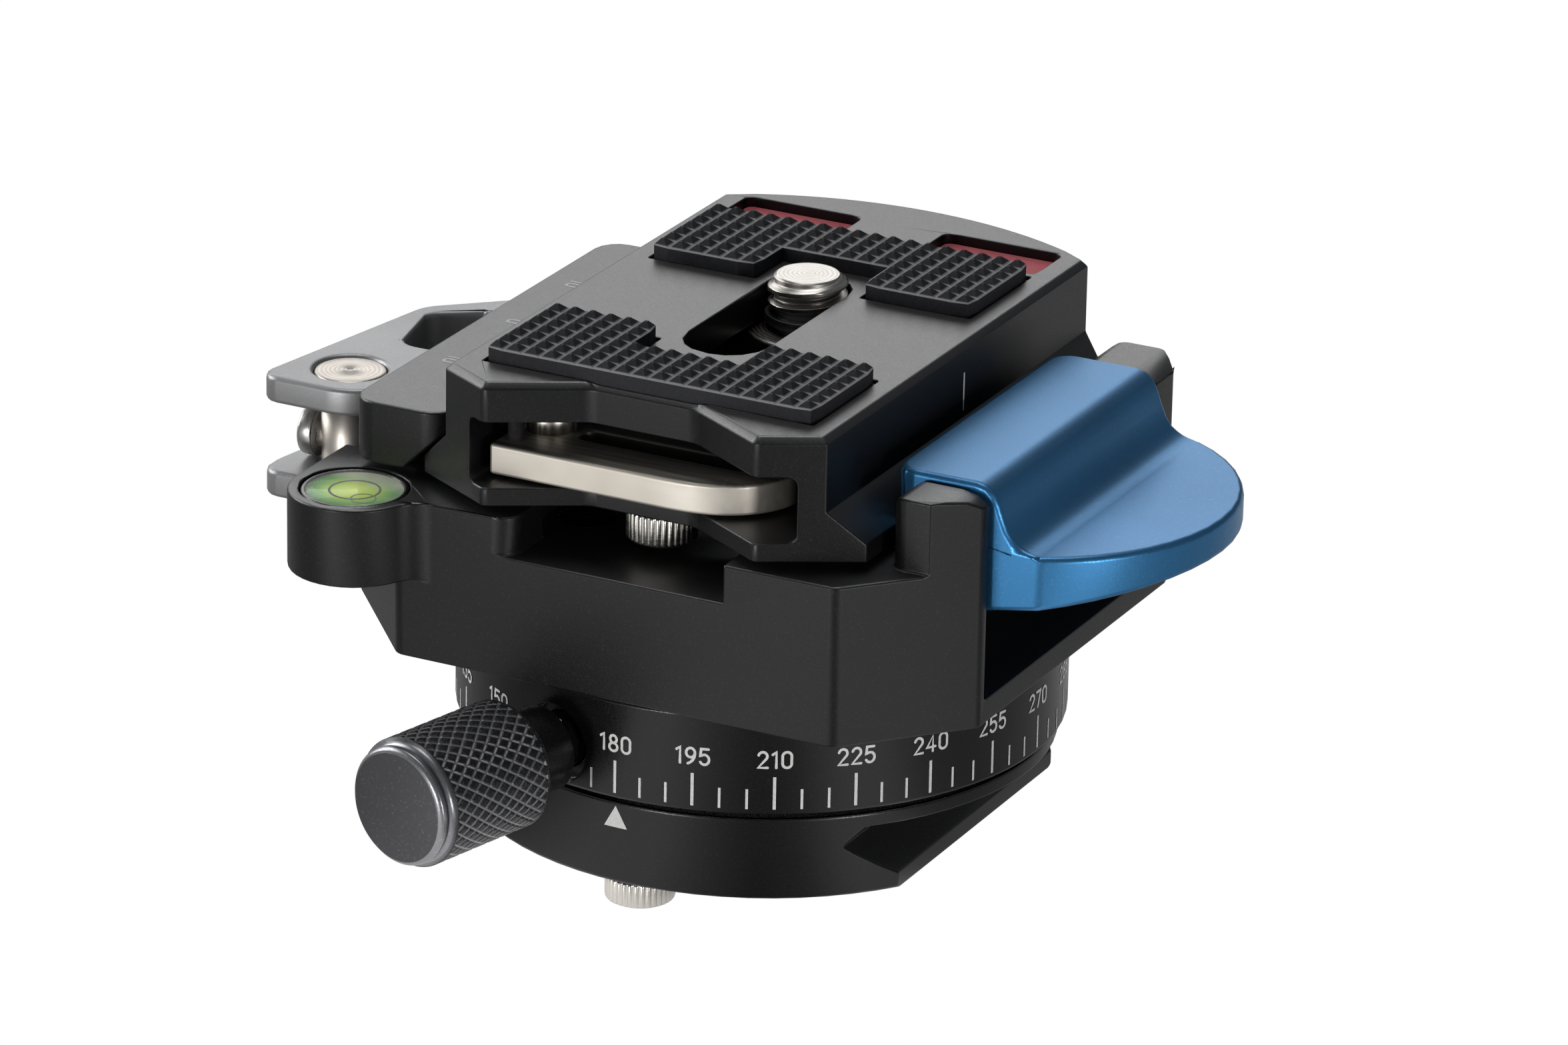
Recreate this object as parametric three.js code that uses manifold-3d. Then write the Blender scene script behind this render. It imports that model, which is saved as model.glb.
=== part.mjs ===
import * as THREE from 'three';
import Module from 'manifold-3d';

// Quick release clamp with a turning degree dial, a cam lever, a snap lever and a camera plate.
// Millimetres, +Z up. The origin is on the pan axis, on the underside of the base.
// +X points to the snap lever, -Y is the near face with the knob and the strap loop.

// Clearances
const fitGap = 0.1;
const runGap = 0.3;
const cutMargin = 1;
const leastDetail = 0.004;

// Base with a dovetail on its underside
const baseStep = 0.7;
const baseHeight = 6.8;
const baseChamfer = 0.25;
const dovetailHalfWidth = 19.05;
const dovetailLipHeight = 1.4;
const baseGrooveDepth = 3.15;
const baseGrooveRise = 2.8;
const baseRoofDepth = 1.85;
const baseRimHeight = 1.2;
const bushRadius = 6.2;
const bushBoreRadius = 4.76;
const baseStopY = 20.2;
const baseStopDrop = 2.35;
const baseStopRadius = 2.75;
const stopShankRadius = 1.5;
const baseStopShank = 3.4;
const stopFluteDepth = 0.22;

// Spindle on which the housing turns
const spindleFlangeThickness = 1.6;
const spindleFlangeRadius = 10.7;
const spindleRadius = 7;
const spindleLength = 9.1;
const spindleThreadRadius = 5;
const spindleThreadLength = 2.5;
const spindleScrewRadius = 1;
const spindleScrewHeadRadius = 1.4;
const spindleScrewHeadDepth = 0.9;
const spindleScrewDepth = 3;

// Thrust washer between base and housing, preload washer and nut above it
const washerInnerRadius = 14;
const washerWidth = 6.5;
const washerRecess = 0.4;
const preloadWasherThickness = 1.5;
const preloadWasherRadius = 10.2;
const nutRadius = 9.4;
const nutHeight = 2.2;

// Dial housing
const dialRadius = 24.2;
const dialGap = 0.55;
const dialHeight = 8.25;
const dialChamfer = 0.25;

// Pan lock knob, on an axis turned from -Y towards -X
const knobTurnDegrees = 14.4;
const knobAxisRise = 3.2;
const spotRadius = 3.2;
const spotDepth = 1.3;
const lockScrewRadius = 1.5;
const collarRadius = 3.47;
const collarProud = 1.2;
const collarLength = 3.9;
const collarSeat = 1.3;
const collarSpigotRadius = 2.2;
const shoeLength = 3.6;
const knobLength = 10.9;
const knobRadius = 5.13;
const knobRearChamfer = 0.3;
const knobShoulderLength = 0.45;
const knobShoulderRadius = 4.5;
const lockScrewReach = 6;
const capGroove = 0.2;
const capThickness = 0.8;
const capRadius = 4.7;
const capBevel = 0.37;
const capSpigotRadius = 2.7;
const capSpigotLength = 1.6;

// Clamp body
const bodyHeight = 13;
const bodyHalfLength = 24.75;
const bodyLeft = 22.5;
const bodyRight = 26.5;
const bodyCornerX = 18.6;
const bodyCornerY = 15.8;
const bodyFarCornerX = 20.8;
const bodyFarCornerY = 18.3;
const bodyCornerRound = 1.4;
const bodySideRound = 0.9;
const bodyBackRound = 2;
const ledgeLeft = 28.2;
const ledgeHeight = 5.8;
const ledgeCornerX = 19.1;
const ledgeCornerY = 14.5;
const shelfWidth = 5.76;
const shelfHeight = 6.4;
const shelfRound = 4;
const bossInset = 0.46;
const bossRadius = 5.2;
const bossBlendRadius = 2.5;
const notchHalfWidth = 9.1;
const notchRound = 1.8;
const pocketHalfWidth = 11.3;
const pocketHalfLength = 19.5;
const pocketDepth = 3.1;
const pocketRound = 2;
const bayHalfLength = 14.85;
const bayLeft = 18.4;
const bayFloorThickness = 2;
const postWidth = 6.35;
const nearPostThickness = 4.25;
const farPostThickness = 5.55;
const postHeight = 5.8;
const postCornerRound = 1.5;
const postShoulderRound = 1.2;
const postOuterRound = 3.2;
const ribInner = 12.2;
const ribWidth = 3;
const ribHalfLength = 17;

// Screws that hold the clamp body on the housing
const bodyScrewX = 8.3;
const bodyScrewY = 13.8;
const bodyScrewRadius = 1.25;
const bodyScrewHeadRadius = 2.2;
const bodyScrewSeatDepth = 3;
const bodyScrewHeadHeight = 2.4;
const bodyScrewGrip = 5.4;
const hexKeyRadius = 1.2;
const hexKeyDepth = 1.3;

// Bubble level in the boss
const vialRadius = 4.2;
const vialDepth = 5.3;
const vialWall = 0.4;
const vialFloor = 0.7;
const lensThickness = 0.9;
const lensDome = 0.25;
const bubbleX = 0.55;
const bubbleY = -0.5;
const bubbleRadius = 1.15;
const bubbleDepth = 0.5;

// Camera plate
const plateGap = 0.7;
const plateHeight = 10;
const plateHalfWidth = 16.35;
const plateFlare = 2.7;
const plateFlareHeight = 2.6;
const plateLipHeight = 1.45;
const plateNearY = 24.7;
const plateNearX = 11.6;
const plateShoulderY = 22.05;
const plateBayY = 20.6;
const plateBayX = 4.5;
const plateBayRound = 2.5;
const plateTipRound = 0.8;
const plateFarX = 14;
const plateFarY = 25.1;
const plateFarRise = 3.25;
const plateShoulderFarY = 23.6;
const plateChamfer = 0.5;
const slotLedgeThickness = 2.9;
const windowLeft = 13.35;
const windowRight = 14.4;
const windowSill = 1.5;
const windowHeight = 5.3;
const windowRearY = 13.4;
const windowRound = 1.4;
const windowEdgeRound = 0.7;
const insertPocketNearY = 18.4;
const insertPocketFarY = 23.8;
const insertPocketInnerX = 3.7;
const insertPocketOuterX = 14.1;
const insertPocketDepth = 2.6;
const insertPocketRound = 0.8;
const insertHeight = 1.5;
const plateStopNearY = 17.3;
const plateStopFarY = 20.5;
const plateStopRadius = 2.8;
const plateStopDrop = 2.75;
const plateStopShank = 1.2;

// Rubber pads with pyramids
const padPitch = 1.56;
const padColumns = 18;
const padLobeColumns = 6;
const padBarRows = 4;
const padLobeRows = 3;
const padNearY = 20.1;
const padFarY = 17.7;
const padRecess = 0.4;
const padRise = 0.85;
const pyramidHeight = 0.8;
const pyramidHalfWidth = 0.68;
const padEdgeInset = 0.03;
const grooveFloorHalfWidth = 0.08;

// Strap loop that swings out of the near end
const loopThickness = 2.5;
const loopLeft = 12.3;
const loopNearY = 22.45;
const loopRearY = 14.2;
const loopArcX = 2;
const loopArcHalfWidth = 9.3;
const loopCornerRound = 1.7;
const loopNearRound = 0.3;
const loopHoleLeft = 7.3;
const loopHoleRight = 7.8;
const loopHoleNearY = 17.8;
const loopHoleRearY = 15.9;
const loopHoleRound = 0.9;
const loopButtonX = 9.9;
const loopButtonY = 17;
const loopButtonRadius = 2;
const loopButtonHeight = 1.5;
const loopPinX = 10.95;
const loopPinY = 20.7;
const loopPinRadius = 0.9;
const loopPinReach = 1.2;

// Camera screw
const screwY = 6.75;
const screwRise = 1.2;
const screwCrestRadius = 3.175;
const screwRootRadius = 2.6;
const screwFaceRadius = 2.46;
const screwPitch = 1.27;
const screwHeadThickness = 3;
const screwHeadRadius = 5;
const screwHeadChamfer = 0.4;
const coinSlotWidth = 1.6;
const coinSlotDepth = 1.4;
const clipThickness = 0.7;

// Gap between the plate's flank and the jaws
const jawClearance = 0.25;

// Left jaw, pushed by the cam lever
const jawOuter = 25.5;
const jawLip = 17;
const jawHeight = 5.7;
const jawEndInset = 3.75;
const jawRound = 2.2;
const jawReliefLength = 3;
const jawReliefHeight = 0.7;
const jawSkirtDrop = 6.9;
const guidePinRadius = 1.5;
const guidePinDrop = 3.6;
const guidePinYs = [2.5, 12.5];
const guidePinLength = 7.4;
const guidePinInset = 0.8;

// Cam lever and its pull bolt
const camPinX = 31.45;
const camPinY = 10.4;
const camLift = 0.85;
const camRise = 3.7;
const camHeight = 10.15;
const camPlateThickness = 2.25;
const camLeft = 37.3;
const camElbowX = 33.6;
const camElbowY = 5;
const camTipX = 27.2;
const camTipY = 10.8;
const camInnerY = 9;
const camWebY = 1.5;
const camCornerRound = 1.6;
const camElbowRound = 3;
const camTipRound = 0.9;
const camSweepGap = 0.5;
const camWindowNearX = 30.9;
const camWindowNearY = 3.4;
const camWindowFarX = 32.4;
const camWindowFarY = 3.6;
const camWindowInnerX = 27.9;
const camWindowInnerY = 6.7;
const camWindowOuterRound = 1.7;
const camWindowInnerRound = 0.5;
const camPinHeadRadius = 2.85;
const camPinHeadDepth = 1.1;
const camPinSink = 0.15;
const camPinRadius = 2.3;
const boltRadius = 1.4;
const boltDrop = 2;
const boltInnerX = 12.6;
const boltHeadThickness = 1.4;
const boltHeadRadius = 2.1;
const anchorX = 15.6;
const anchorRadius = 2.3;
const anchorHeight = 4.3;

// Snap lever
const leverLip = 18.1;
const leverRise = 6.3;
const leverHalfLength = 14.5;
const leverLipRound = 1.9;
const leverInner = 20.5;
const leverHubX = 23.8;
const leverHubDrop = 4.5;
const leverInnerDrop = 3.1;
const leverShoulderX = 25.1;
const leverCurveOut = 3;
const leverCurveIn = 4;
const leverWingX = 30.4;
const leverStep = 5.1;
const leverWingRootX = 27.1;
const leverWingRootThickness = 5;
const leverWingEdgeThickness = 2.8;
const wingCentreX = 23;
const wingRadius = 16.3;
const leverPivotX = 23.6;
const leverPivotDrop = 0.3;
const leverPinRadius = 1.5;
const leverPinBlind = 2.4;
const springBayHalfLength = 4.9;
const springBayMargin = 1.3;
const torsionRadius = 2.35;
const torsionWireRadius = 0.35;
const torsionTurns = 5;
const torsionPitch = 1.5;

// Plate sensing plunger
const triggerX = 8.4;
const triggerRadius = 1.9;
const triggerFlangeRadius = 2.5;
const triggerFlangeThickness = 1;
const triggerBushRadius = 3;
const triggerBushHeight = 2.2;
const triggerBushProud = 0.3;
const triggerWellFloor = 1;
const coilRadius = 1.7;
const coilWireRadius = 0.25;
const coilTurns = 3.5;

// Curve fineness
const fine = 72;
const medium = 36;
const small = 16;
const cornerSteps = 4;
const curlSteps = 8;

// Radius of the base, and heights of the stack
const baseRadius = dialRadius - baseStep;
const dialBase = baseHeight + dialGap;
const dialTop = dialBase + dialHeight;
const bodyBase = dialTop + fitGap;
const bodyTop = bodyBase + bodyHeight;
const plateBase = bodyTop + plateGap;
const plateTop = plateBase + plateHeight;

const wasm = await Module();
wasm.setup();

const part = new THREE.Group();
part.name = 'quick_release_clamp';

// A closed body from a three.js geometry
function solid(geometry) {
  const bare = geometry.index ? geometry.toNonIndexed() : geometry;
  const positions = bare.attributes.position.array;
  const welded = new Map();
  const points = [];
  const triangles = [];
  for (let i = 0; i < positions.length; i += 9) {
    const corner = [];
    for (let j = 0; j < 9; j += 3) {
      const key = [0, 1, 2].map((k) => Math.round(positions[i + j + k] * 1e4)).join();
      if (!welded.has(key)) {
        welded.set(key, points.length / 3);
        points.push(positions[i + j], positions[i + j + 1], positions[i + j + 2]);
      }
      corner.push(welded.get(key));
    }
    const whole = corner[0] !== corner[1] && corner[1] !== corner[2] && corner[2] !== corner[0];
    if (whole) triangles.push(...corner);
  }
  const mesh = new wasm.Mesh({
    numProp: 3,
    vertProperties: new Float32Array(points),
    triVerts: new Uint32Array(triangles),
  });
  return new wasm.Manifold(mesh);
}

// A flat outline raised along Z
function prism(outline, bottom, top) {
  const shape = new THREE.Shape(outline.map(([x, y]) => new THREE.Vector2(x, y)));
  const geometry = new THREE.ExtrudeGeometry(shape, { depth: top - bottom, bevelEnabled: false });
  geometry.translate(0, 0, bottom);
  return solid(geometry);
}

// The same with its top and bottom edges chamfered
function chamferedPrism(outline, bottom, top, chamfer) {
  const shape = new THREE.Shape(outline.map(([x, y]) => new THREE.Vector2(x, y)));
  const geometry = new THREE.ExtrudeGeometry(shape, {
    depth: top - bottom - 2 * chamfer,
    bevelEnabled: true,
    bevelThickness: chamfer,
    bevelSize: chamfer,
    bevelOffset: -chamfer,
    bevelSegments: 1,
  });
  geometry.translate(0, 0, bottom + chamfer);
  return solid(geometry);
}

// An outline in X and Z carried along Y
function prismAlongY(outline, from, to) {
  const shape = new THREE.Shape(outline.map(([x, z]) => new THREE.Vector2(x, z)));
  const geometry = new THREE.ExtrudeGeometry(shape, { depth: to - from, bevelEnabled: false });
  geometry.rotateX(Math.PI / 2);
  geometry.translate(0, to, 0);
  return solid(geometry);
}

// A box between two corners
function box(from, to) {
  const size = to.map((value, i) => value - from[i]);
  const geometry = new THREE.BoxGeometry(...size);
  geometry.translate(...from.map((value, i) => value + size[i] / 2));
  return solid(geometry);
}

// A turned body about Z from pairs of radius and height
function turned(profile, segments) {
  const points = profile.map(([radius, height]) => new THREE.Vector2(radius, height));
  const geometry = new THREE.LatheGeometry([...points, points[0]], segments);
  geometry.rotateX(Math.PI / 2);
  return solid(geometry);
}

// A plain round bar along Z
function bar(radius, bottom, top, segments) {
  return turned([[0, bottom], [radius, bottom], [radius, top], [0, top]], segments);
}

// A round bar along X or Y
function barAlongX(radius, from, to, y, z, segments) {
  return bar(radius, from, to, segments).rotate([0, 90, 0]).translate([0, y, z]);
}

function barAlongY(radius, from, to, x, z, segments) {
  return bar(radius, from, to, segments).rotate([-90, 0, 0]).translate([x, 0, z]);
}

// A closed outline whose corners are rounded by the radius in third place
function rounded(corners) {
  const outline = [];
  corners.forEach(([x, y, radius = 0], i) => {
    const before = corners[(i + corners.length - 1) % corners.length];
    const after = corners[(i + 1) % corners.length];
    if (radius === 0) {
      outline.push([x, y]);
      return;
    }
    const a = new THREE.Vector2(before[0] - x, before[1] - y).normalize();
    const b = new THREE.Vector2(after[0] - x, after[1] - y).normalize();
    const half = Math.acos(Math.min(1, Math.max(-1, a.dot(b)))) / 2;
    const reach = radius / Math.sin(half);
    const middle = a.clone().add(b).normalize();
    const centre = new THREE.Vector2(x, y).addScaledVector(middle, reach);
    const start = new THREE.Vector2(x, y).addScaledVector(a, radius / Math.tan(half)).sub(centre);
    const turn = start.cross(new THREE.Vector2(x, y).addScaledVector(b, radius / Math.tan(half)).sub(centre));
    const sweep = (Math.PI - 2 * half) * Math.sign(turn);
    for (let step = 0; step <= cornerSteps; step += 1) {
      const spun = start.clone().rotateAround(new THREE.Vector2(), (sweep * step) / cornerSteps);
      outline.push([centre.x + spun.x, centre.y + spun.y]);
    }
  });
  return outline;
}

function mirrored(outline) {
  return outline.map(([x, y, ...rest]) => [-x, y, ...rest]).reverse();
}

// A tube along a curve, closed at both ends
function tube(curve, radius, steps) {
  const sides = 5;
  const ring = [];
  for (let i = 0; i < sides; i += 1) {
    const angle = (2 * Math.PI * i) / sides;
    ring.push(new THREE.Vector2(radius * Math.cos(angle), radius * Math.sin(angle)));
  }
  const options = { steps, extrudePath: curve, bevelEnabled: false };
  return solid(new THREE.ExtrudeGeometry(new THREE.Shape(ring), options));
}

// A coil about Z whose first and last bits run straight for one wire thickness
class Coil extends THREE.Curve {
  constructor(radius, pitch, turns, straight) {
    super();
    Object.assign(this, { radius, pitch, turns, straight });
  }

  getPoint(share, target = new THREE.Vector3()) {
    const around = 2 * Math.PI * this.turns * this.radius;
    const length = around + 2 * this.straight;
    const place = share * length - this.straight;
    const inside = Math.min(around, Math.max(0, place));
    const angle = inside / this.radius;
    const rise = (this.pitch * angle) / (2 * Math.PI);
    const spare = place - inside;
    return target.set(
      this.radius * Math.cos(angle) - spare * Math.sin(angle),
      this.radius * Math.sin(angle) + spare * Math.cos(angle),
      rise,
    );
  }
}

// Puts a closed body in the assembly under its own name and material
function place(name, body, look) {
  const { vertProperties, triVerts, numProp } = body.simplify(leastDetail).getMesh();
  const positions = new Float32Array(triVerts.length * 3);
  triVerts.forEach((vertex, i) => {
    positions.set(vertProperties.subarray(vertex * numProp, vertex * numProp + 3), i * 3);
  });
  const geometry = new THREE.BufferGeometry();
  geometry.setAttribute('position', new THREE.BufferAttribute(positions, 3));
  geometry.computeVertexNormals();
  const mesh = new THREE.Mesh(geometry, new THREE.MeshStandardMaterial(look));
  mesh.name = name;
  part.add(mesh);
  return mesh;
}

const blackAnodised = { color: 0x17171a, roughness: 0.5, metalness: 0.6 };
const satinSteel = { color: 0xb9b6ae, roughness: 0.3, metalness: 1 };
const springSteel = { color: 0x8d8d8b, roughness: 0.35, metalness: 1 };
const greyAnodised = { color: 0x8f9092, roughness: 0.5, metalness: 0.8 };
const knobGrey = { color: 0x4a4a4d, roughness: 0.5, metalness: 0.7 };
const blueAnodised = { color: 0x2f74ad, roughness: 0.35, metalness: 0.7 };
const blackRubber = { color: 0x1c1d20, roughness: 0.85, metalness: 0 };
const redRubber = { color: 0x9c3a42, roughness: 0.8, metalness: 0 };
const bronze = { color: 0x9a7443, roughness: 0.4, metalness: 1 };
const acetal = { color: 0xd9d7cd, roughness: 0.6, metalness: 0 };
const levelLiquid = { color: 0xb9c832, roughness: 0.1, metalness: 0 };
const clearGlass = { color: 0xdfe8d0, roughness: 0.05, metalness: 0 };

// Base: heights of its grooves and of the spindle's recess
const grooveTop = dovetailLipHeight + baseGrooveRise;
const roofZ = baseHeight - baseRimHeight;
const washerSeat = baseHeight - washerRecess;
const flangeTop = baseHeight - fitGap;
const spindleBase = flangeTop - spindleFlangeThickness;
const recessFloor = spindleBase - fitGap;
const washerOuterRadius = washerInnerRadius + washerWidth;
const spindleScrewCircle = (spindleRadius + spindleFlangeRadius) / 2;
const spindleScrewEnd = recessFloor - spindleScrewDepth;
const outside = dialRadius + bodyHalfLength;

let base = turned([
  [0, 0],
  [baseRadius - baseChamfer, 0],
  [baseRadius, baseChamfer],
  [baseRadius, baseHeight - baseChamfer / 2],
  [baseRadius - baseChamfer / 2, baseHeight],
  [0, baseHeight],
], fine);
const dovetailCut = [
  [dovetailHalfWidth, -cutMargin],
  [outside, -cutMargin],
  [outside, roofZ],
  [dovetailHalfWidth - baseRoofDepth, roofZ],
  [dovetailHalfWidth - baseGrooveDepth, grooveTop],
  [dovetailHalfWidth, dovetailLipHeight],
];
base = base.subtract(prismAlongY(dovetailCut, -outside, outside));
base = base.subtract(prismAlongY(mirrored(dovetailCut), -outside, outside));
base = base.subtract(bar(spindleFlangeRadius + runGap, recessFloor, baseHeight + cutMargin, medium));
base = base.subtract(bar(bushRadius + fitGap, -cutMargin, recessFloor + cutMargin, medium));
base = base.subtract(turned([
  [washerInnerRadius - fitGap, washerSeat],
  [washerOuterRadius + fitGap, washerSeat],
  [washerOuterRadius + fitGap, baseHeight + cutMargin],
  [washerInnerRadius - fitGap, baseHeight + cutMargin],
], fine));
const spindleScrewPlaces = [0, 1, 2].map((i) => {
  const angle = Math.PI / 2 + (2 * Math.PI * i) / 3;
  return [spindleScrewCircle * Math.cos(angle), spindleScrewCircle * Math.sin(angle)];
});
spindleScrewPlaces.forEach(([x, y]) => {
  const hole = bar(spindleScrewRadius + fitGap, spindleScrewEnd - fitGap, baseHeight, small);
  base = base.subtract(hole.translate([x, y, 0]));
});
[-baseStopY, baseStopY].forEach((y) => {
  const hole = bar(stopShankRadius + fitGap, -cutMargin, baseStopShank + fitGap, small);
  base = base.subtract(hole.translate([0, y, 0]));
});
place('base_plate', base, blackAnodised);

// The bush ends short of the spindle
const bushTop = recessFloor - runGap;
place('base_bush', turned([
  [bushBoreRadius, fitGap],
  [bushRadius, fitGap],
  [bushRadius, bushTop],
  [bushBoreRadius, bushTop],
], medium), satinSteel);

// Knurled safety stops: a fluted head on a plain shank
function stopPin(radius, headBottom, headTop, shankTop) {
  const flutes = 20;
  const outline = [];
  for (let i = 0; i < 2 * flutes; i += 1) {
    const angle = (Math.PI * i) / flutes;
    const reach = i % 2 === 0 ? radius : radius - stopFluteDepth;
    outline.push([reach * Math.cos(angle), reach * Math.sin(angle)]);
  }
  const head = prism(outline, headBottom, headTop);
  return head.add(bar(stopShankRadius, headTop - fitGap, shankTop, small));
}
const baseStop = stopPin(baseStopRadius, -baseStopDrop, -fitGap, baseStopShank);
place('base_stop_pin_near', baseStop.translate([0, -baseStopY, 0]), satinSteel);
place('base_stop_pin_far', baseStop.translate([0, baseStopY, 0]), satinSteel);

// Spindle: a flange screwed in the base, a shaft and a threaded top
const spindleShoulder = spindleBase + spindleLength;
const spindleTop = spindleShoulder + spindleThreadLength;
let spindle = turned([
  [0, spindleBase],
  [spindleFlangeRadius, spindleBase],
  [spindleFlangeRadius, flangeTop],
  [spindleRadius, flangeTop],
  [spindleRadius, spindleShoulder],
  [spindleThreadRadius, spindleShoulder],
  [spindleThreadRadius, spindleTop],
  [0, spindleTop],
], medium);
const spindleScrewSeat = flangeTop - spindleScrewHeadDepth - fitGap;
spindleScrewPlaces.forEach(([x, y]) => {
  const hole = bar(spindleScrewRadius + fitGap, spindleBase - cutMargin, baseHeight, small);
  const sink = bar(spindleScrewHeadRadius + fitGap, spindleScrewSeat, baseHeight, small);
  spindle = spindle.subtract(hole.add(sink).translate([x, y, 0]));
});
place('pan_spindle', spindle, satinSteel);
const spindleScrew = bar(spindleScrewRadius, spindleScrewEnd, flangeTop - fitGap, small).add(
  bar(spindleScrewHeadRadius, spindleScrewSeat + fitGap / 2, flangeTop - fitGap, small),
);
spindleScrewPlaces.forEach(([x, y], i) => {
  place(`spindle_screw_${i + 1}`, spindleScrew.translate([x, y, 0]), springSteel);
});

// Bearing washer under the housing, preload washer and nut on the spindle
place('thrust_washer', turned([
  [washerInnerRadius, washerSeat + fitGap],
  [washerOuterRadius, washerSeat + fitGap],
  [washerOuterRadius, dialBase - fitGap],
  [washerInnerRadius, dialBase - fitGap],
], fine), acetal);
const preloadBase = spindleShoulder - preloadWasherThickness;
place('preload_washer', turned([
  [spindleRadius + runGap, preloadBase],
  [preloadWasherRadius, preloadBase],
  [preloadWasherRadius, spindleShoulder],
  [spindleRadius + runGap, spindleShoulder],
], medium), bronze);
const nutBase = spindleShoulder + fitGap;
const nutTop = nutBase + nutHeight;
place('preload_nut', turned([
  [spindleThreadRadius + fitGap, nutBase],
  [nutRadius, nutBase],
  [nutRadius, nutTop],
  [spindleThreadRadius + fitGap, nutTop],
], medium), springSteel);

// Dial housing
const webTop = preloadBase - fitGap;
const nutCavityRadius = Math.max(nutRadius, preloadWasherRadius) + runGap;
const nutCavityTop = Math.max(nutTop, spindleTop) + runGap;
const bodyScrewPlaces = [[-1, -1], [1, -1], [1, 1], [-1, 1]].map(([x, y]) => [x * bodyScrewX, y * bodyScrewY]);
const bodyScrewEnd = dialTop - bodyScrewGrip;
const knobAxisZ = dialBase + knobAxisRise;
function onKnobAxis(body) {
  return body.rotate([90, 0, 0]).rotate([0, 0, -knobTurnDegrees]).translate([0, 0, knobAxisZ]);
}
const spotFace = dialRadius - spotDepth;
const collarStart = spotFace - collarSeat;
let dial = turned([
  [spindleRadius + runGap, dialBase],
  [dialRadius - dialChamfer, dialBase],
  [dialRadius, dialBase + dialChamfer],
  [dialRadius, dialTop - dialChamfer],
  [dialRadius - dialChamfer, dialTop],
  [nutCavityRadius, dialTop],
  [nutCavityRadius, webTop],
  [spindleRadius + runGap, webTop],
], fine);
dial = dial.subtract(onKnobAxis(bar(lockScrewRadius + runGap, spindleRadius - cutMargin, outside, small)));
dial = dial.subtract(onKnobAxis(bar(collarSpigotRadius + fitGap, collarStart - fitGap, outside, small)));
dial = dial.subtract(onKnobAxis(bar(spotRadius, spotFace, outside, medium)));
bodyScrewPlaces.forEach(([x, y]) => {
  const hole = bar(bodyScrewRadius + fitGap, bodyScrewEnd - fitGap, dialTop + cutMargin, small);
  dial = dial.subtract(hole.translate([x, y, 0]));
});
place('dial_housing', dial, blackAnodised);

// Pan lock: collar, shoe, screw, knob and its end cap on one axis
const collarFace = dialRadius + collarProud;
const collarEnd = collarFace + collarLength;
place('lock_collar', onKnobAxis(turned([
  [lockScrewRadius + runGap, collarStart],
  [collarSpigotRadius, collarStart],
  [collarSpigotRadius, collarFace],
  [collarRadius, collarFace],
  [collarRadius, collarEnd],
  [lockScrewRadius + runGap, collarEnd],
], medium)), knobGrey);
const shoeStart = spindleRadius + runGap;
const shoeEnd = shoeStart + shoeLength;
place('brake_shoe', onKnobAxis(bar(lockScrewRadius, shoeStart, shoeEnd, small)), bronze);
const knobStart = collarEnd + runGap;
const knobEnd = knobStart + knobLength;
const lockScrewEnd = knobStart + lockScrewReach;
place('lock_screw', onKnobAxis(bar(lockScrewRadius, shoeEnd + fitGap, lockScrewEnd, small)), springSteel);
const capStart = knobEnd + capGroove;
const spigotStart = knobEnd - capSpigotLength;
const shoulderStart = knobEnd - knobShoulderLength;
const knobFlutes = 32;
const knobOutline = [];
for (let i = 0; i < 2 * knobFlutes; i += 1) {
  const angle = (Math.PI * i) / knobFlutes;
  const reach = i % 2 === 0 ? knobRadius : knobRadius - stopFluteDepth;
  knobOutline.push([reach * Math.cos(angle), reach * Math.sin(angle)]);
}
let knob = prism(knobOutline, knobStart, knobEnd);
knob = knob.intersect(turned([
  [lockScrewRadius + fitGap, knobStart],
  [knobRadius - knobRearChamfer, knobStart],
  [knobRadius, knobStart + knobRearChamfer],
  [knobRadius, shoulderStart],
  [knobShoulderRadius, knobEnd],
  [capSpigotRadius + fitGap, knobEnd],
  [capSpigotRadius + fitGap, spigotStart - fitGap],
  [0, spigotStart - fitGap],
  [0, lockScrewEnd + fitGap],
  [lockScrewRadius + fitGap, lockScrewEnd + fitGap],
], fine));
place('lock_knob', onKnobAxis(knob), knobGrey);
place('knob_cap', onKnobAxis(turned([
  [0, spigotStart],
  [capSpigotRadius, spigotStart],
  [capSpigotRadius, capStart],
  [capRadius, capStart],
  [capRadius, capStart + capThickness - capBevel],
  [capRadius - capBevel, capStart + capThickness],
  [0, capStart + capThickness],
], medium)), greyAnodised);

// Clamp body: a block with clipped corners on a wider ledge, shelves and a boss on its left
const pocketFloor = bodyTop - pocketDepth;
const shelfBase = bodyTop - shelfHeight;
const shelfLeft = bodyLeft + shelfWidth;
const bossX = bossRadius - shelfLeft;
const bossY = bossInset - bodyHalfLength;
const postLeft = bodyRight - postWidth;
const nearPostY = bayHalfLength + nearPostThickness;
const farPostY = bayHalfLength + farPostThickness;
const postTop = bodyTop + postHeight;
const rightCorners = [
  [bodyCornerX, -bodyHalfLength, bodyCornerRound],
  [bodyRight, -bodyCornerY, bodySideRound],
  [bodyRight, bodyFarCornerY, bodySideRound],
  [bodyFarCornerX, bodyHalfLength, bodyCornerRound],
];
const bodyOutline = rounded([
  [-bodyLeft, -bodyHalfLength],
  ...rightCorners,
  [-bodyLeft, bodyHalfLength, bodyBackRound],
]);
const ledgeOutline = rounded([
  [-ledgeLeft, -ledgeCornerY, bodySideRound],
  [-ledgeCornerX, -bodyHalfLength, bodyCornerRound],
  ...rightCorners,
  [-ledgeCornerX, bodyHalfLength, bodyCornerRound],
  [-ledgeLeft, ledgeCornerY, bodySideRound],
]);
const ledgeTop = bodyBase + ledgeHeight;
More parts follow.
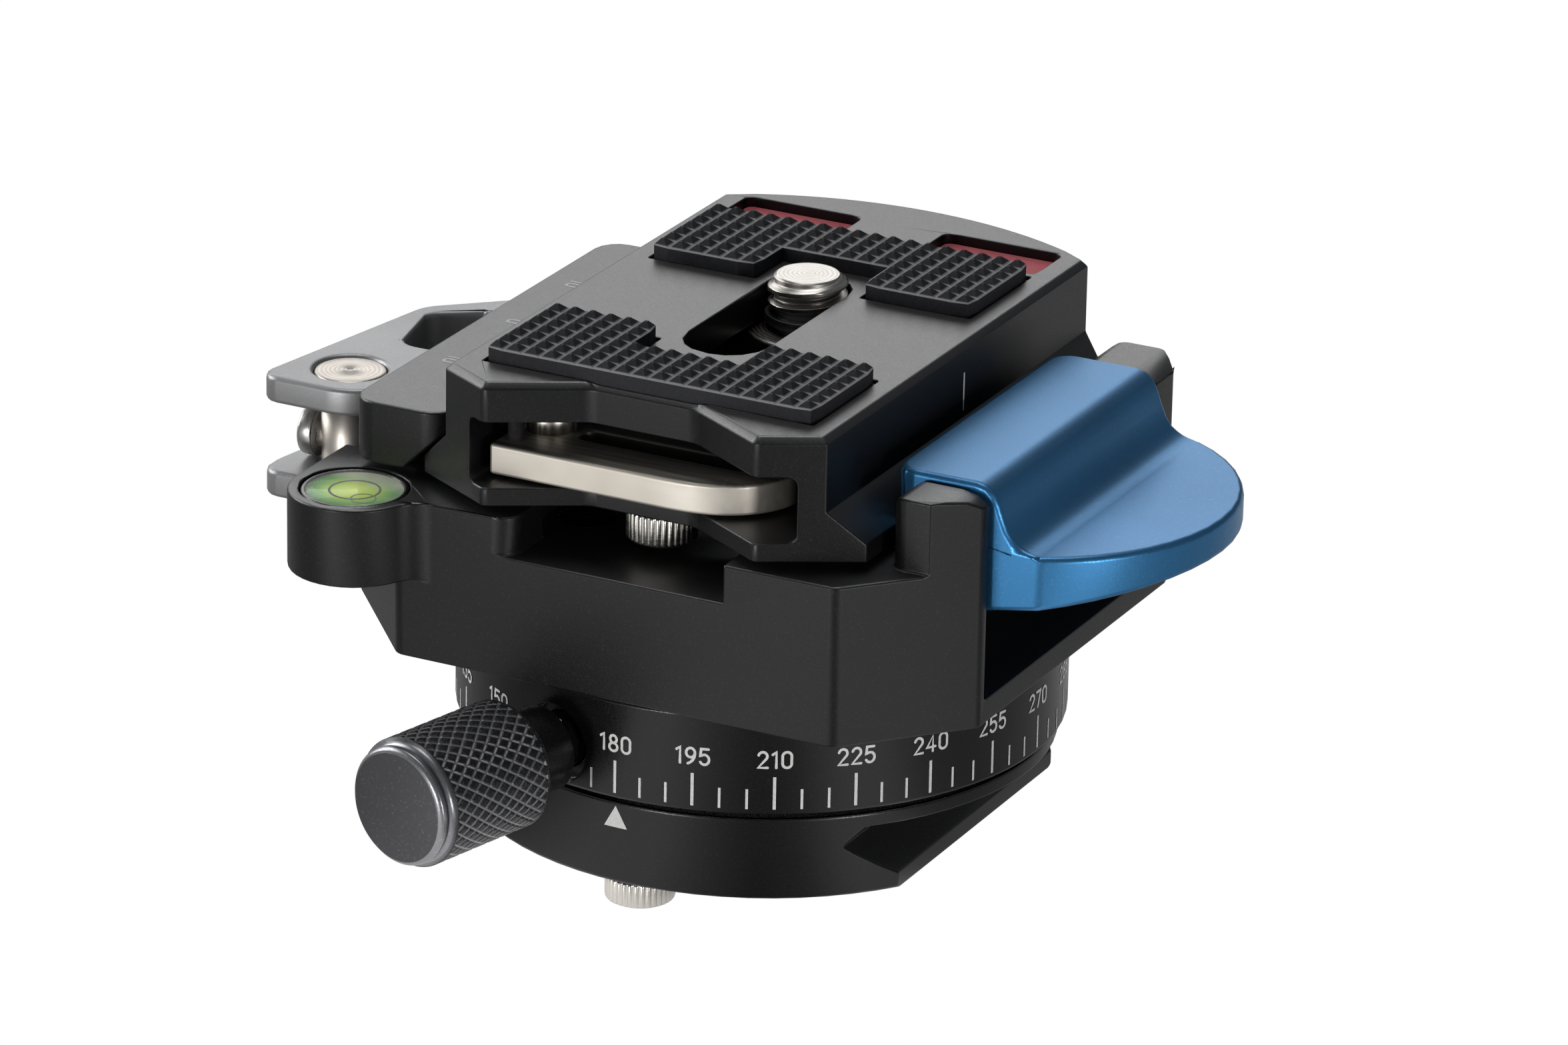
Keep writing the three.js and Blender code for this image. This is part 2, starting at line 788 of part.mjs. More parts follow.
let body = prism(ledgeOutline, bodyBase, shelfBase);
body = body.subtract(box([-outside, -outside, ledgeTop], [-bodyLeft, outside, bodyTop]));
body = body.add(prism(bodyOutline, shelfBase, bodyTop));

// Shelves end clear of the cam lever's sweep
const camReach = camPinX - jawOuter - runGap;
const shelfEndY = camPinY + camReach + camSweepGap;

// The near shelf ends in the round boss, which blends in the near face
const blendY = -bodyHalfLength - bossBlendRadius;
const blendReach = bossRadius + bossBlendRadius;
const blendX = bossX + Math.sqrt(blendReach ** 2 - (blendY - bossY) ** 2);
const blendStart = Math.atan2(bossY - blendY, bossX - blendX);
const nearShelf = [[blendX, shelfRound - bodyHalfLength]];
for (let i = 0; i <= 2 * cornerSteps; i += 1) {
  const angle = Math.PI / 2 + ((blendStart - Math.PI / 2) * i) / (2 * cornerSteps);
  nearShelf.push([blendX + bossBlendRadius * Math.cos(angle), blendY + bossBlendRadius * Math.sin(angle)]);
}
for (let i = 1; i <= 4 * cornerSteps; i += 1) {
  const angle = blendStart - Math.PI + ((-Math.PI - (blendStart - Math.PI)) * i) / (4 * cornerSteps);
  nearShelf.push([bossX + bossRadius * Math.cos(angle), bossY + bossRadius * Math.sin(angle)]);
}
nearShelf.push([-shelfLeft, -shelfEndY], [blendX, -shelfEndY]);
body = body.add(prism(nearShelf, shelfBase, bodyTop));
const farShelf = rounded([
  [-shelfLeft, shelfEndY],
  [blendX, shelfEndY],
  [blendX, bodyHalfLength],
  [-shelfLeft, bodyHalfLength, shelfRound],
]);
body = body.add(prism(farShelf, shelfBase, bodyTop));

// Posts beside the snap lever
const postProfile = rounded([
  [postLeft, bodyTop - cutMargin],
  [bodyRight + cutMargin, bodyTop - cutMargin],
  [bodyRight + cutMargin, postTop, postOuterRound],
  [postLeft, postTop, postShoulderRound],
]);
const postPlan = rounded([
  [postLeft, -nearPostY, postCornerRound],
  [outside, -nearPostY],
  [outside, farPostY],
  [postLeft, farPostY, postCornerRound],
]);
let posts = prismAlongY(postProfile, -nearPostY, farPostY);
posts = posts.intersect(prism(bodyOutline, bodyBase, postTop + cutMargin));
body = body.add(posts.intersect(prism(postPlan, bodyBase, postTop + cutMargin)));

// Two raised ribs carry the camera plate
[[-ribInner - ribWidth, -ribInner], [ribInner, ribInner + ribWidth]].forEach(([left, right]) => {
  const rib = box([left, -ribHalfLength, bodyTop - cutMargin], [right, ribHalfLength, plateBase - fitGap]);
  body = body.add(rib);
});

// Bay of the snap lever
const bayFloor = bodyBase + bayFloorThickness;
body = body.subtract(box([bayLeft, -bayHalfLength, bayFloor], [outside, bayHalfLength, postTop + cutMargin]));

// Pocket and end notches for the plate's stop pins, the near notch has one rounded corner
const pocket = rounded([
  [-pocketHalfWidth, -pocketHalfLength, pocketRound],
  [pocketHalfWidth, -pocketHalfLength, pocketRound],
  [pocketHalfWidth, pocketHalfLength, pocketRound],
  [-pocketHalfWidth, pocketHalfLength, pocketRound],
]);
body = body.subtract(prism(pocket, pocketFloor, bodyTop + cutMargin));
const notchRearY = pocketHalfLength - pocketRound;
const notch = [
  [-notchHalfWidth - notchRound, -outside],
  [notchHalfWidth, -outside],
  [notchHalfWidth, -notchRearY],
  [-notchHalfWidth, -notchRearY],
];
for (let i = 0; i <= 2 * cornerSteps; i += 1) {
  const angle = (Math.PI * i) / (4 * cornerSteps);
  notch.push([
    notchRound * (Math.cos(angle) - 1) - notchHalfWidth,
    notchRound * (1 - Math.sin(angle)) - bodyHalfLength,
  ]);
}
body = body.subtract(prism(notch, pocketFloor, bodyTop + cutMargin));
const farNotch = box(
  [-notchHalfWidth, notchRearY, pocketFloor],
  [notchHalfWidth, outside, bodyTop + cutMargin],
);
body = body.subtract(farNotch);

// Room for the preload nut, and the four screw holes
body = body.subtract(bar(nutCavityRadius, bodyBase - cutMargin, nutCavityTop, medium));
const bodyScrewSeat = pocketFloor - bodyScrewSeatDepth;
bodyScrewPlaces.forEach(([x, y]) => {
  const hole = bar(bodyScrewRadius + fitGap, bodyBase - cutMargin, bodyTop, small);
  const sink = bar(bodyScrewHeadRadius + fitGap, bodyScrewSeat, bodyTop, small);
  body = body.subtract(hole.add(sink).translate([x, y, 0]));
});

// Well of the plate sensing plunger
const wellFloor = nutCavityTop + triggerWellFloor;
const triggerBushTop = pocketFloor + triggerBushProud;
const triggerBushBase = triggerBushTop - triggerBushHeight;
const wellRadius = triggerFlangeRadius + runGap;
const well = bar(wellRadius, wellFloor, triggerBushTop, small).add(
  bar(triggerBushRadius + fitGap, triggerBushBase - fitGap, triggerBushTop, small),
);
body = body.subtract(well.translate([triggerX, 0, 0]));

// Bubble hole, guide pin holes, bolt hole, anchor hole and lever pin hole
const vialHole = bar(vialRadius + fitGap, bodyTop - vialDepth, bodyTop + cutMargin, medium);
body = body.subtract(vialHole.translate([bossX, bossY, 0]));
const guidePinZ = bodyTop - guidePinDrop;
const guidePinOuter = jawOuter - guidePinInset;
const guidePinInner = guidePinOuter - guidePinLength;
guidePinYs.forEach((y) => {
  const hole = barAlongX(guidePinRadius + runGap, -outside, runGap - guidePinInner, y, guidePinZ, small);
  body = body.subtract(hole);
});
const boltZ = bodyTop - boltDrop;
const anchorTop = bodyTop - 2 * fitGap;
body = body.subtract(barAlongX(boltRadius + fitGap, -outside, runGap - boltInnerX, -camPinY, boltZ, small));
const anchorHole = bar(anchorRadius + fitGap, anchorTop - anchorHeight - fitGap, plateBase, small);
body = body.subtract(anchorHole.translate([-anchorX, -camPinY, 0]));
const pivotZ = bodyTop - leverPivotDrop;
const leverPinNear = leverPinBlind - nearPostY;
const leverPinFar = bodyFarCornerY - runGap;
const leverPinHole = barAlongY(
  leverPinRadius + fitGap,
  leverPinNear - fitGap,
  outside,
  leverPivotX,
  pivotZ,
  small,
);
body = body.subtract(leverPinHole);
place('clamp_body', body, blackAnodised);

// Socket head screws through the body
function hexagon(radius) {
  return [0, 1, 2, 3, 4, 5].map((i) => [
    radius * Math.cos((Math.PI * i) / 3),
    radius * Math.sin((Math.PI * i) / 3),
  ]);
}
const bodyScrewHeadTop = bodyScrewSeat + fitGap + bodyScrewHeadHeight;
let bodyScrew = bar(bodyScrewRadius, bodyScrewEnd, bodyScrewHeadTop, small);
bodyScrew = bodyScrew.add(bar(bodyScrewHeadRadius, bodyScrewSeat + fitGap, bodyScrewHeadTop, small));
bodyScrew = bodyScrew.subtract(
  prism(hexagon(hexKeyRadius), bodyScrewHeadTop - hexKeyDepth, bodyScrewHeadTop + cutMargin),
);
bodyScrewPlaces.forEach(([x, y], i) => {
  place(`housing_screw_${i + 1}`, bodyScrew.translate([x, y, 0]), springSteel);
});

// Bubble level: cup, liquid, air and lens
const cupBase = bodyTop - vialDepth + fitGap;
const cupTop = bodyTop - lensThickness;
const cupInner = vialRadius - vialWall;
const atBoss = (shape) => shape.translate([bossX, bossY, 0]);
place('bubble_cup', atBoss(turned([
  [0, cupBase],
  [vialRadius, cupBase],
  [vialRadius, cupTop],
  [cupInner, cupTop],
  [cupInner, cupBase + vialFloor],
  [0, cupBase + vialFloor],
], medium)), blackAnodised);
const liquidTop = cupTop - fitGap;
const airBase = liquidTop - bubbleDepth;
const atBubble = (shape) => shape.translate([bossX + bubbleX, bossY + bubbleY, 0]);
const liquid = atBoss(bar(cupInner - fitGap, cupBase + vialFloor + fitGap, liquidTop, medium));
const airRoom = atBubble(bar(bubbleRadius + fitGap, airBase - fitGap, liquidTop + cutMargin, small));
place('bubble_liquid', liquid.subtract(airRoom), levelLiquid);
place('bubble_air', atBubble(bar(bubbleRadius, airBase, liquidTop, small)), clearGlass);
const lensBase = cupTop + fitGap;
place('bubble_lens', atBoss(turned([
  [0, lensBase],
  [vialRadius, lensBase],
  [vialRadius, bodyTop],
  [cupInner, bodyTop + lensDome],
  [0, bodyTop + lensDome],
], medium)), clearGlass);

// Height of the plate's dovetail flank at a distance from the middle, and the jaws' grip on it
const neckZ = plateBase + plateLipHeight + plateFlareHeight;
const flankSlopeShare = plateFlareHeight / plateFlare;
const gripZ = (x) => neckZ - (x - plateHalfWidth) * flankSlopeShare + jawClearance;

// Snap lever
const leverTop = bodyTop + leverRise;
const wingTop = leverTop - leverStep;
const wingX = wingCentreX + wingRadius;
const leverProfile = [
  [leverLip, gripZ(leverLip)],
  [leverInner, gripZ(leverInner)],
  [leverInner, bodyTop - leverInnerDrop],
  [leverHubX, bodyTop - leverHubDrop],
  [leverWingRootX, wingTop - leverWingRootThickness],
  [wingX, wingTop - leverWingEdgeThickness],
  [wingX, wingTop],
];
const waist = new THREE.CubicBezierCurve(
  new THREE.Vector2(leverWingX, wingTop),
  new THREE.Vector2(leverWingX - leverCurveIn, wingTop),
  new THREE.Vector2(leverShoulderX + leverCurveOut, leverTop),
  new THREE.Vector2(leverShoulderX, leverTop),
);
waist.getPoints(2 * cornerSteps).forEach((point) => leverProfile.push([point.x, point.y]));
leverProfile.push([leverLip, leverTop]);
const wingSweep = Math.asin(leverHalfLength / wingRadius);
const leverPlan = [[leverLip, leverHalfLength, leverLipRound], [leverLip, -leverHalfLength, leverLipRound]];
for (let i = 0; i <= 4 * cornerSteps; i += 1) {
  const angle = wingSweep * (i / (2 * cornerSteps) - 1);
  leverPlan.push([wingCentreX + wingRadius * Math.cos(angle), wingRadius * Math.sin(angle)]);
}
let lever = prismAlongY(leverProfile, -leverHalfLength, leverHalfLength);
lever = lever.intersect(prism(rounded(leverPlan), bodyBase, leverTop + cutMargin));
lever = lever.subtract(barAlongY(leverPinRadius + fitGap, -outside, outside, leverPivotX, pivotZ, small));
const torsionReach = torsionRadius + torsionWireRadius;
lever = lever.subtract(box(
  [leverPivotX - torsionReach - springBayMargin, -springBayHalfLength, bodyBase],
  [leverPivotX + torsionReach + springBayMargin, springBayHalfLength, pivotZ + torsionReach + runGap],
));
place('jaw_lever', lever, blueAnodised);
const leverPin = barAlongY(leverPinRadius, leverPinNear, leverPinFar, leverPivotX, pivotZ, small);
place('lever_pin', leverPin, satinSteel);
const torsionCoil = new Coil(torsionRadius, torsionPitch, torsionTurns, 2 * torsionWireRadius);
const torsionLength = torsionPitch * torsionTurns;
const torsion = tube(torsionCoil, torsionWireRadius, curlSteps * torsionTurns);
const torsionAcross = torsion.translate([0, 0, -torsionLength / 2]).rotate([90, 0, 0]);
place('lever_spring', torsionAcross.translate([leverPivotX, 0, pivotZ]), springSteel);

// Left jaw with a skirt in front of the body
const jawBase = bodyTop + fitGap;
const jawTop = jawBase + jawHeight;
const jawHalfLength = bodyHalfLength - jawEndInset;
const jawFootX = plateHalfWidth + (neckZ + jawClearance - jawBase) / flankSlopeShare;
const jawPlan = rounded([
  [-jawOuter, -jawHalfLength, jawRound],
  [-jawLip, -jawHalfLength, jawRound],
  [-jawLip, jawHalfLength, jawRound],
  [-jawOuter, jawHalfLength, jawRound],
]);
let jaw = prismAlongY([
  [-jawOuter, jawBase],
  [-jawFootX, jawBase],
  [-jawLip, gripZ(jawLip)],
  [-jawLip, jawTop],
  [-jawOuter, jawTop],
], -jawHalfLength, jawHalfLength);
jaw = jaw.intersect(prism(jawPlan, bodyBase, jawTop + cutMargin));
const jawReliefY = jawHalfLength - jawReliefLength;
[[-outside, -jawReliefY], [jawReliefY, outside]].forEach(([near, far]) => {
  jaw = jaw.subtract(box([-outside, near, bodyTop], [0, far, jawBase + jawReliefHeight]));
});
const skirtHalfLength = shelfEndY - runGap;
jaw = jaw.add(box(
  [-jawOuter, -skirtHalfLength, jawBase - jawSkirtDrop],
  [-bodyLeft - runGap, skirtHalfLength, jawBase + fitGap],
));
guidePinYs.forEach((y) => {
  jaw = jaw.subtract(barAlongX(guidePinRadius + fitGap, -guidePinOuter - fitGap, 0, y, guidePinZ, small));
});
jaw = jaw.subtract(barAlongX(boltRadius + runGap, -outside, 0, -camPinY, boltZ, small));
place('left_jaw', jaw, blackAnodised);
guidePinYs.forEach((y, i) => {
  const guidePin = barAlongX(guidePinRadius, -guidePinOuter, -guidePinInner, y, guidePinZ, small);
  place(`jaw_guide_pin_${i + 1}`, guidePin, satinSteel);
});

// Cam lever: two plates joined by a web, with a spiral nose round its pin
const camTop = bodyTop + camRise;
const camBase = camTop - camHeight;
const camFlat = camPinY + camReach - camLift;
const camInnerX = jawOuter + runGap + fitGap;
const camCorners = [
  [-camInnerX, camInnerY],
  [-camTipX, camTipY, camTipRound],
  [-camElbowX, camElbowY, camElbowRound],
  [-camLeft, -camFlat, camCornerRound],
];
const camSteps = 16;
for (let i = 0; i <= camSteps; i += 1) {
  const angle = (Math.PI / 2) * (1 - i / camSteps);
  const reach = camReach - camLift * (1 - i / camSteps);
  camCorners.push([reach * Math.cos(angle) - camPinX, -reach * Math.sin(angle) - camPinY]);
}
const camWindow = rounded([
  [-camWindowNearX, -camWindowNearY, camWindowOuterRound],
  [-camWindowInnerX, -camWindowNearY, camWindowInnerRound],
  [-camWindowInnerX, camWindowInnerY, camWindowInnerRound],
  [-camWindowFarX, camWindowFarY, camWindowOuterRound],
]);
const atCamPin = (shape) => shape.translate([-camPinX, -camPinY, 0]);
const camPinTop = camTop - camPinSink;
const camHeadSeat = camPinTop - camPinHeadDepth - fitGap;
let cam = prism(rounded(camCorners), camBase, camTop);
cam = cam.subtract(box(
  [-outside, -outside, camBase + camPlateThickness],
  [0, camWebY, camTop - camPlateThickness],
));
cam = cam.subtract(prism(camWindow, camBase - cutMargin, camTop + cutMargin));
cam = cam.subtract(atCamPin(bar(camPinRadius + fitGap, camBase - cutMargin, camTop + cutMargin, medium)));
cam = cam.subtract(atCamPin(bar(camPinHeadRadius + fitGap, camHeadSeat, camTop + cutMargin, medium)));
place('cam_lever', cam, greyAnodised);
let camPin = bar(camPinRadius, camBase + fitGap, camPinTop, medium);
camPin = camPin.add(bar(camPinHeadRadius, camHeadSeat + fitGap, camPinTop, medium));
camPin = atCamPin(camPin).subtract(
  barAlongX(boltRadius + fitGap, -outside, 0, -camPinY, boltZ, small),
);
place('cam_pin', camPin, satinSteel);

// Pull bolt from the cam pin to its anchor in the body
const boltSeatX = camPinX + camPinRadius + fitGap;
const bolt = barAlongX(boltRadius, -boltSeatX, -boltInnerX, -camPinY, boltZ, small).add(
  barAlongX(boltHeadRadius, -boltSeatX - boltHeadThickness, -boltSeatX, -camPinY, boltZ, small),
);
place('tension_bolt', bolt, springSteel);
const anchor = bar(anchorRadius, anchorTop - anchorHeight, anchorTop, small).translate([-anchorX, -camPinY, 0]);
const anchorBore = barAlongX(boltRadius + fitGap, -outside, 0, -camPinY, boltZ, small);
place('bolt_anchor', anchor.subtract(anchorBore), satinSteel);

// Plate sensing plunger in its bush, on a coil spring
const atTrigger = (shape) => shape.translate([triggerX, 0, 0]);
place('trigger_bush', atTrigger(turned([
  [triggerRadius + fitGap, triggerBushBase],
  [triggerBushRadius, triggerBushBase],
  [triggerBushRadius, triggerBushTop],
  [triggerRadius + fitGap, triggerBushTop],
], small)), satinSteel);
const triggerFlangeTop = triggerBushBase - runGap;
const triggerFlangeBase = triggerFlangeTop - triggerFlangeThickness;
place('trigger_plunger', atTrigger(turned([
  [0, triggerFlangeBase],
  [triggerFlangeRadius, triggerFlangeBase],
  [triggerFlangeRadius, triggerFlangeTop],
  [triggerRadius, triggerFlangeTop],
  [triggerRadius, plateBase - 2 * fitGap],
  [0, plateBase - 2 * fitGap],
], small)), acetal);
const coilBase = wellFloor + coilWireRadius + fitGap;
const coilTop = triggerFlangeBase - coilWireRadius - fitGap;
const coilPitch = (coilTop - coilBase) / coilTurns;
const coil = tube(new Coil(coilRadius, coilPitch, coilTurns, 2 * coilWireRadius), coilWireRadius, curlSteps * coilTurns);
place('trigger_spring', atTrigger(coil.translate([0, 0, coilBase])), springSteel);

// Camera plate: outline of a slice of the plate with the given half width
function plateOutline(halfWidth) {
  const nearSlopeShare = (plateNearY - plateShoulderY) / (plateHalfWidth - plateNearX);
  const farSlopeShare = (plateFarY - plateShoulderFarY) / (plateHalfWidth - plateFarX);
  const nearY = plateShoulderY - (halfWidth - plateHalfWidth) * nearSlopeShare;
  const farY = plateShoulderFarY - (halfWidth - plateHalfWidth) * farSlopeShare;
  const outline = [
    [-halfWidth, -nearY],
    [-plateNearX, -plateNearY, plateTipRound],
    [-plateBayX, -plateBayY, plateBayRound],
    [plateBayX, -plateBayY, plateBayRound],
    [plateNearX, -plateNearY, plateTipRound],
    [halfWidth, -nearY],
    [halfWidth, farY],
  ];
  const arcRadius = (plateFarX ** 2 + plateFarRise ** 2) / (2 * plateFarRise);
  const sweep = Math.asin(plateFarX / arcRadius);
  const arcY = plateFarY + plateFarRise - arcRadius;
  const arcSteps = 20;
  for (let i = 0; i <= arcSteps; i += 1) {
    const angle = sweep * (1 - (2 * i) / arcSteps);
    outline.push([arcRadius * Math.sin(angle), arcY + arcRadius * Math.cos(angle)]);
  }
  outline.push([-halfWidth, farY]);
  return rounded(outline);
}
const neckOutline = plateOutline(plateHalfWidth);
let plate = chamferedPrism(neckOutline, plateBase, plateTop, plateChamfer);
plate = plate.add(prism(neckOutline, plateBase, plateTop - plateChamfer));
const dovetailX = plateHalfWidth + plateFlare;
const dovetail = prismAlongY([
  [-dovetailX, plateBase],
  [dovetailX, plateBase],
  [dovetailX, plateBase + plateLipHeight],
  [plateHalfWidth, neckZ],
  [-plateHalfWidth, neckZ],
  [-dovetailX, plateBase + plateLipHeight],
], -outside, outside);
plate = plate.add(dovetail.intersect(prism(plateOutline(dovetailX), plateBase, plateTop)));

// Slot for the camera screw, with a ledge for its head
function stadium(halfWidth, halfLength) {
  const end = halfLength - halfWidth;
  const outline = [];
  for (let i = 0; i <= 2 * cornerSteps; i += 1) {
    const angle = (Math.PI * i) / (2 * cornerSteps);
    outline.push([halfWidth * Math.cos(angle), end + halfWidth * Math.sin(angle)]);
  }
  return [...outline, ...outline.map(([x, y]) => [-x, -y])];
}
const slotHalfWidth = screwCrestRadius + runGap;
const headSlotHalfWidth = screwHeadRadius + runGap;
const ledgeZ = plateTop - slotLedgeThickness;
const slot = prism(stadium(slotHalfWidth, screwY + slotHalfWidth), plateBase, plateTop + cutMargin);
const headSlot = prism(stadium(headSlotHalfWidth, screwY + headSlotHalfWidth), plateBase - cutMargin, ledgeZ);
plate = plate.subtract(slot).subtract(headSlot);

// Window of the strap loop, open at the near end
const windowFloor = plateBase + windowSill;
const windowRoof = windowFloor + windowHeight;
const windowPlan = rounded([
  [-windowLeft, -outside],
  [windowRight, -outside],
  [windowRight, -windowRearY, windowRound],
  [-windowLeft, -windowRearY, windowRound],
]);
const windowFront = rounded([
  [-windowLeft, windowFloor, windowEdgeRound],
  [windowRight, windowFloor, windowEdgeRound],
  [windowRight, windowRoof, windowEdgeRound],
  [-windowLeft, windowRoof, windowEdgeRound],
]);
const windowRoom = prism(windowPlan, windowFloor, windowRoof);
plate = plate.subtract(windowRoom.intersect(prismAlongY(windowFront, -outside, 0)));

// Far pockets for the inserts
function insertOutline(side, margin) {
  const corners = [
    [insertPocketInnerX + margin, insertPocketNearY + margin, insertPocketRound],
    [insertPocketOuterX - margin, insertPocketNearY + margin, insertPocketRound],
    [insertPocketOuterX - margin, insertPocketFarY - margin, insertPocketRound],
    [insertPocketInnerX + margin, insertPocketFarY - margin, insertPocketRound],
  ];
  return rounded(side < 0 ? mirrored(corners) : corners);
}
const insertFloor = plateTop - insertPocketDepth;
[-1, 1].forEach((side) => {
  plate = plate.subtract(prism(insertOutline(side, 0), insertFloor, plateTop + cutMargin));
});

// Pads: a bar with two lobes, cut from above in pyramids
const padHalfWidth = (padPitch * padColumns) / 2;
const lobeInnerX = padHalfWidth - padPitch * padLobeColumns;
const barDepth = padPitch * padBarRows;
const lobeDepth = padPitch * padLobeRows;
function padOutline(margin) {
  return [
    [-padHalfWidth - margin, -margin],
    [padHalfWidth + margin, -margin],
    [padHalfWidth + margin, barDepth + lobeDepth + margin],
    [lobeInnerX - margin, barDepth + lobeDepth + margin],
    [lobeInnerX - margin, barDepth + margin],
    [margin - lobeInnerX, barDepth + margin],
    [margin - lobeInnerX, barDepth + lobeDepth + margin],
    [-padHalfWidth - margin, barDepth + lobeDepth + margin],
  ];
}
const padFloor = plateTop - padRecess;
const toNear = (shape) => shape.translate([0, -padNearY, 0]);
const toFar = (shape) => shape.mirror([0, 1, 0]).translate([0, padFarY, 0]);
const padRoom = prism(padOutline(fitGap), padFloor, plateTop + cutMargin);
plate = plate.subtract(toNear(padRoom)).subtract(toFar(padRoom));
const pyramidBase = plateTop + padRise;
const padTop = pyramidBase + pyramidHeight;
let pad = prism(padOutline(-padEdgeInset), padFloor + fitGap, padTop);
const groove = [
  [-grooveFloorHalfWidth, pyramidBase],
  [grooveFloorHalfWidth, pyramidBase],
  [pyramidHalfWidth, padTop],
  [pyramidHalfWidth, padTop + cutMargin],
  [-pyramidHalfWidth, padTop + cutMargin],
  [-pyramidHalfWidth, padTop],
];
const grooves = [];
for (let i = 0; i <= padColumns; i += 1) {
  const x = padPitch * i - padHalfWidth;
  grooves.push(prismAlongY(groove, -outside, outside).translate([x, 0, 0]));
}
for (let i = 0; i <= padBarRows + padLobeRows; i += 1) {
  const cross = prismAlongY(groove, -outside, outside).rotate([0, 0, 90]);
  grooves.push(cross.translate([0, padPitch * i, 0]));
}
pad = pad.subtract(wasm.Manifold.union(grooves));
place('near_pad', toNear(pad), blackRubber);
place('far_pad', toFar(pad), blackRubber);

// Stop pins under the plate, loop pin in the window
const plateStopPlaces = [-plateStopNearY, plateStopFarY];
const plateStopEnd = plateBase + plateStopShank;
plateStopPlaces.forEach((y) => {
  const hole = bar(stopShankRadius + fitGap, plateBase - cutMargin, plateStopEnd + fitGap, small);
  plate = plate.subtract(hole.translate([0, y, 0]));
});
const loopPinBase = windowFloor - loopPinReach;
const loopPinTop = windowRoof + loopPinReach;
const atLoopPin = (shape) => shape.translate([-loopPinX, -loopPinY, 0]);
plate = plate.subtract(atLoopPin(bar(loopPinRadius + fitGap, loopPinBase - fitGap, loopPinTop + fitGap, small)));
place('camera_plate', plate, blackAnodised);
const plateStop = stopPin(plateStopRadius, plateBase - plateStopDrop, plateBase - fitGap, plateStopEnd);
place('plate_stop_pin_near', plateStop.translate([0, plateStopPlaces[0], 0]), satinSteel);
place('plate_stop_pin_far', plateStop.translate([0, plateStopPlaces[1], 0]), satinSteel);
place('loop_pin', atLoopPin(bar(loopPinRadius, loopPinBase, loopPinTop, small)), satinSteel);
const leftInsert = prism(insertOutline(-1, fitGap), insertFloor + fitGap, insertFloor + insertHeight);
const rightInsert = prism(insertOutline(1, fitGap), insertFloor + fitGap, insertFloor + insertHeight);
place('left_insert', leftInsert, redRubber);
place('right_insert', rightInsert, redRubber);

// Strap loop: straight near edge that runs in a quarter ellipse
const loopArcDepth = loopNearY - loopRearY;
const loopOutline = [
  [-loopLeft, -loopRearY, loopCornerRound],
  [-loopLeft, -loopNearY, loopNearRound],
];
const loopSteps = 16;
for (let i = 0; i <= loopSteps; i += 1) {
  const angle = (Math.PI / 2) * (1 - i / loopSteps);
  const x = loopArcX + loopArcHalfWidth * Math.cos(angle);
  loopOutline.push([x, -loopRearY - loopArcDepth * Math.sin(angle)]);
}
const loopHole = rounded([
  [-loopHoleLeft, -loopHoleNearY, loopHoleRound],
  [loopHoleRight, -loopHoleNearY, loopHoleRound],
  [loopHoleRight, -loopHoleRearY, loopHoleRound],
  [-loopHoleLeft, -loopHoleRearY, loopHoleRound],
]);
const loopBase = windowFloor + runGap;
const loopTop = loopBase + loopThickness;
let loop = prism(rounded(loopOutline), loopBase, loopTop);
loop = loop.subtract(prism(loopHole, loopBase - cutMargin, loopTop + cutMargin));
const loopButton = bar(loopButtonRadius, loopTop - fitGap, loopTop + loopButtonHeight, medium);
loop = loop.add(loopButton.translate([-loopButtonX, -loopButtonY, 0]));
loop = loop.subtract(atLoopPin(bar(loopPinRadius + fitGap, windowFloor, windowRoof, small)));
place('strap_loop', loop, satinSteel);

// Camera screw: coin slotted head under the ledge, thread above the plate
const screwTop = plateTop + screwRise;
const screwHeadTop = ledgeZ - runGap;
const screwHeadBase = screwHeadTop - screwHeadThickness;
const clipBase = ledgeZ + runGap;
const clipTop = clipBase + clipThickness;
const screwProfile = [
  [0, screwHeadBase],
  [screwHeadRadius - screwHeadChamfer, screwHeadBase],
  [screwHeadRadius, screwHeadBase + screwHeadChamfer],
  [screwHeadRadius, screwHeadTop],
  [screwRootRadius, screwHeadTop],
];
const screwCrests = Math.floor((screwTop - clipTop) / screwPitch);
for (let i = screwCrests; i > 0; i -= 1) {
  const z = screwTop - i * screwPitch;
  screwProfile.push([screwRootRadius, z], [screwCrestRadius, z + screwPitch / 2]);
}
screwProfile.push([screwRootRadius, screwTop - fitGap], [screwFaceRadius, screwTop], [0, screwTop]);
const atScrew = (shape) => shape.translate([0, screwY, 0]);
let screw = turned(screwProfile, medium);
screw = screw.subtract(box(
  [-screwHeadRadius, -coinSlotWidth / 2, screwHeadBase - cutMargin],
  [screwHeadRadius, coinSlotWidth / 2, screwHeadBase + coinSlotDepth],
));
place('camera_screw', atScrew(screw), satinSteel);
place('screw_clip', atScrew(turned([
  [screwRootRadius + fitGap, clipBase],
  [slotHalfWidth - fitGap, clipBase],
  [slotHalfWidth - fitGap, clipTop],
  [screwRootRadius + fitGap, clipTop],
], medium)), springSteel);

export default part;
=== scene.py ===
import math

import bmesh
import bpy
from mathutils import Matrix, Vector


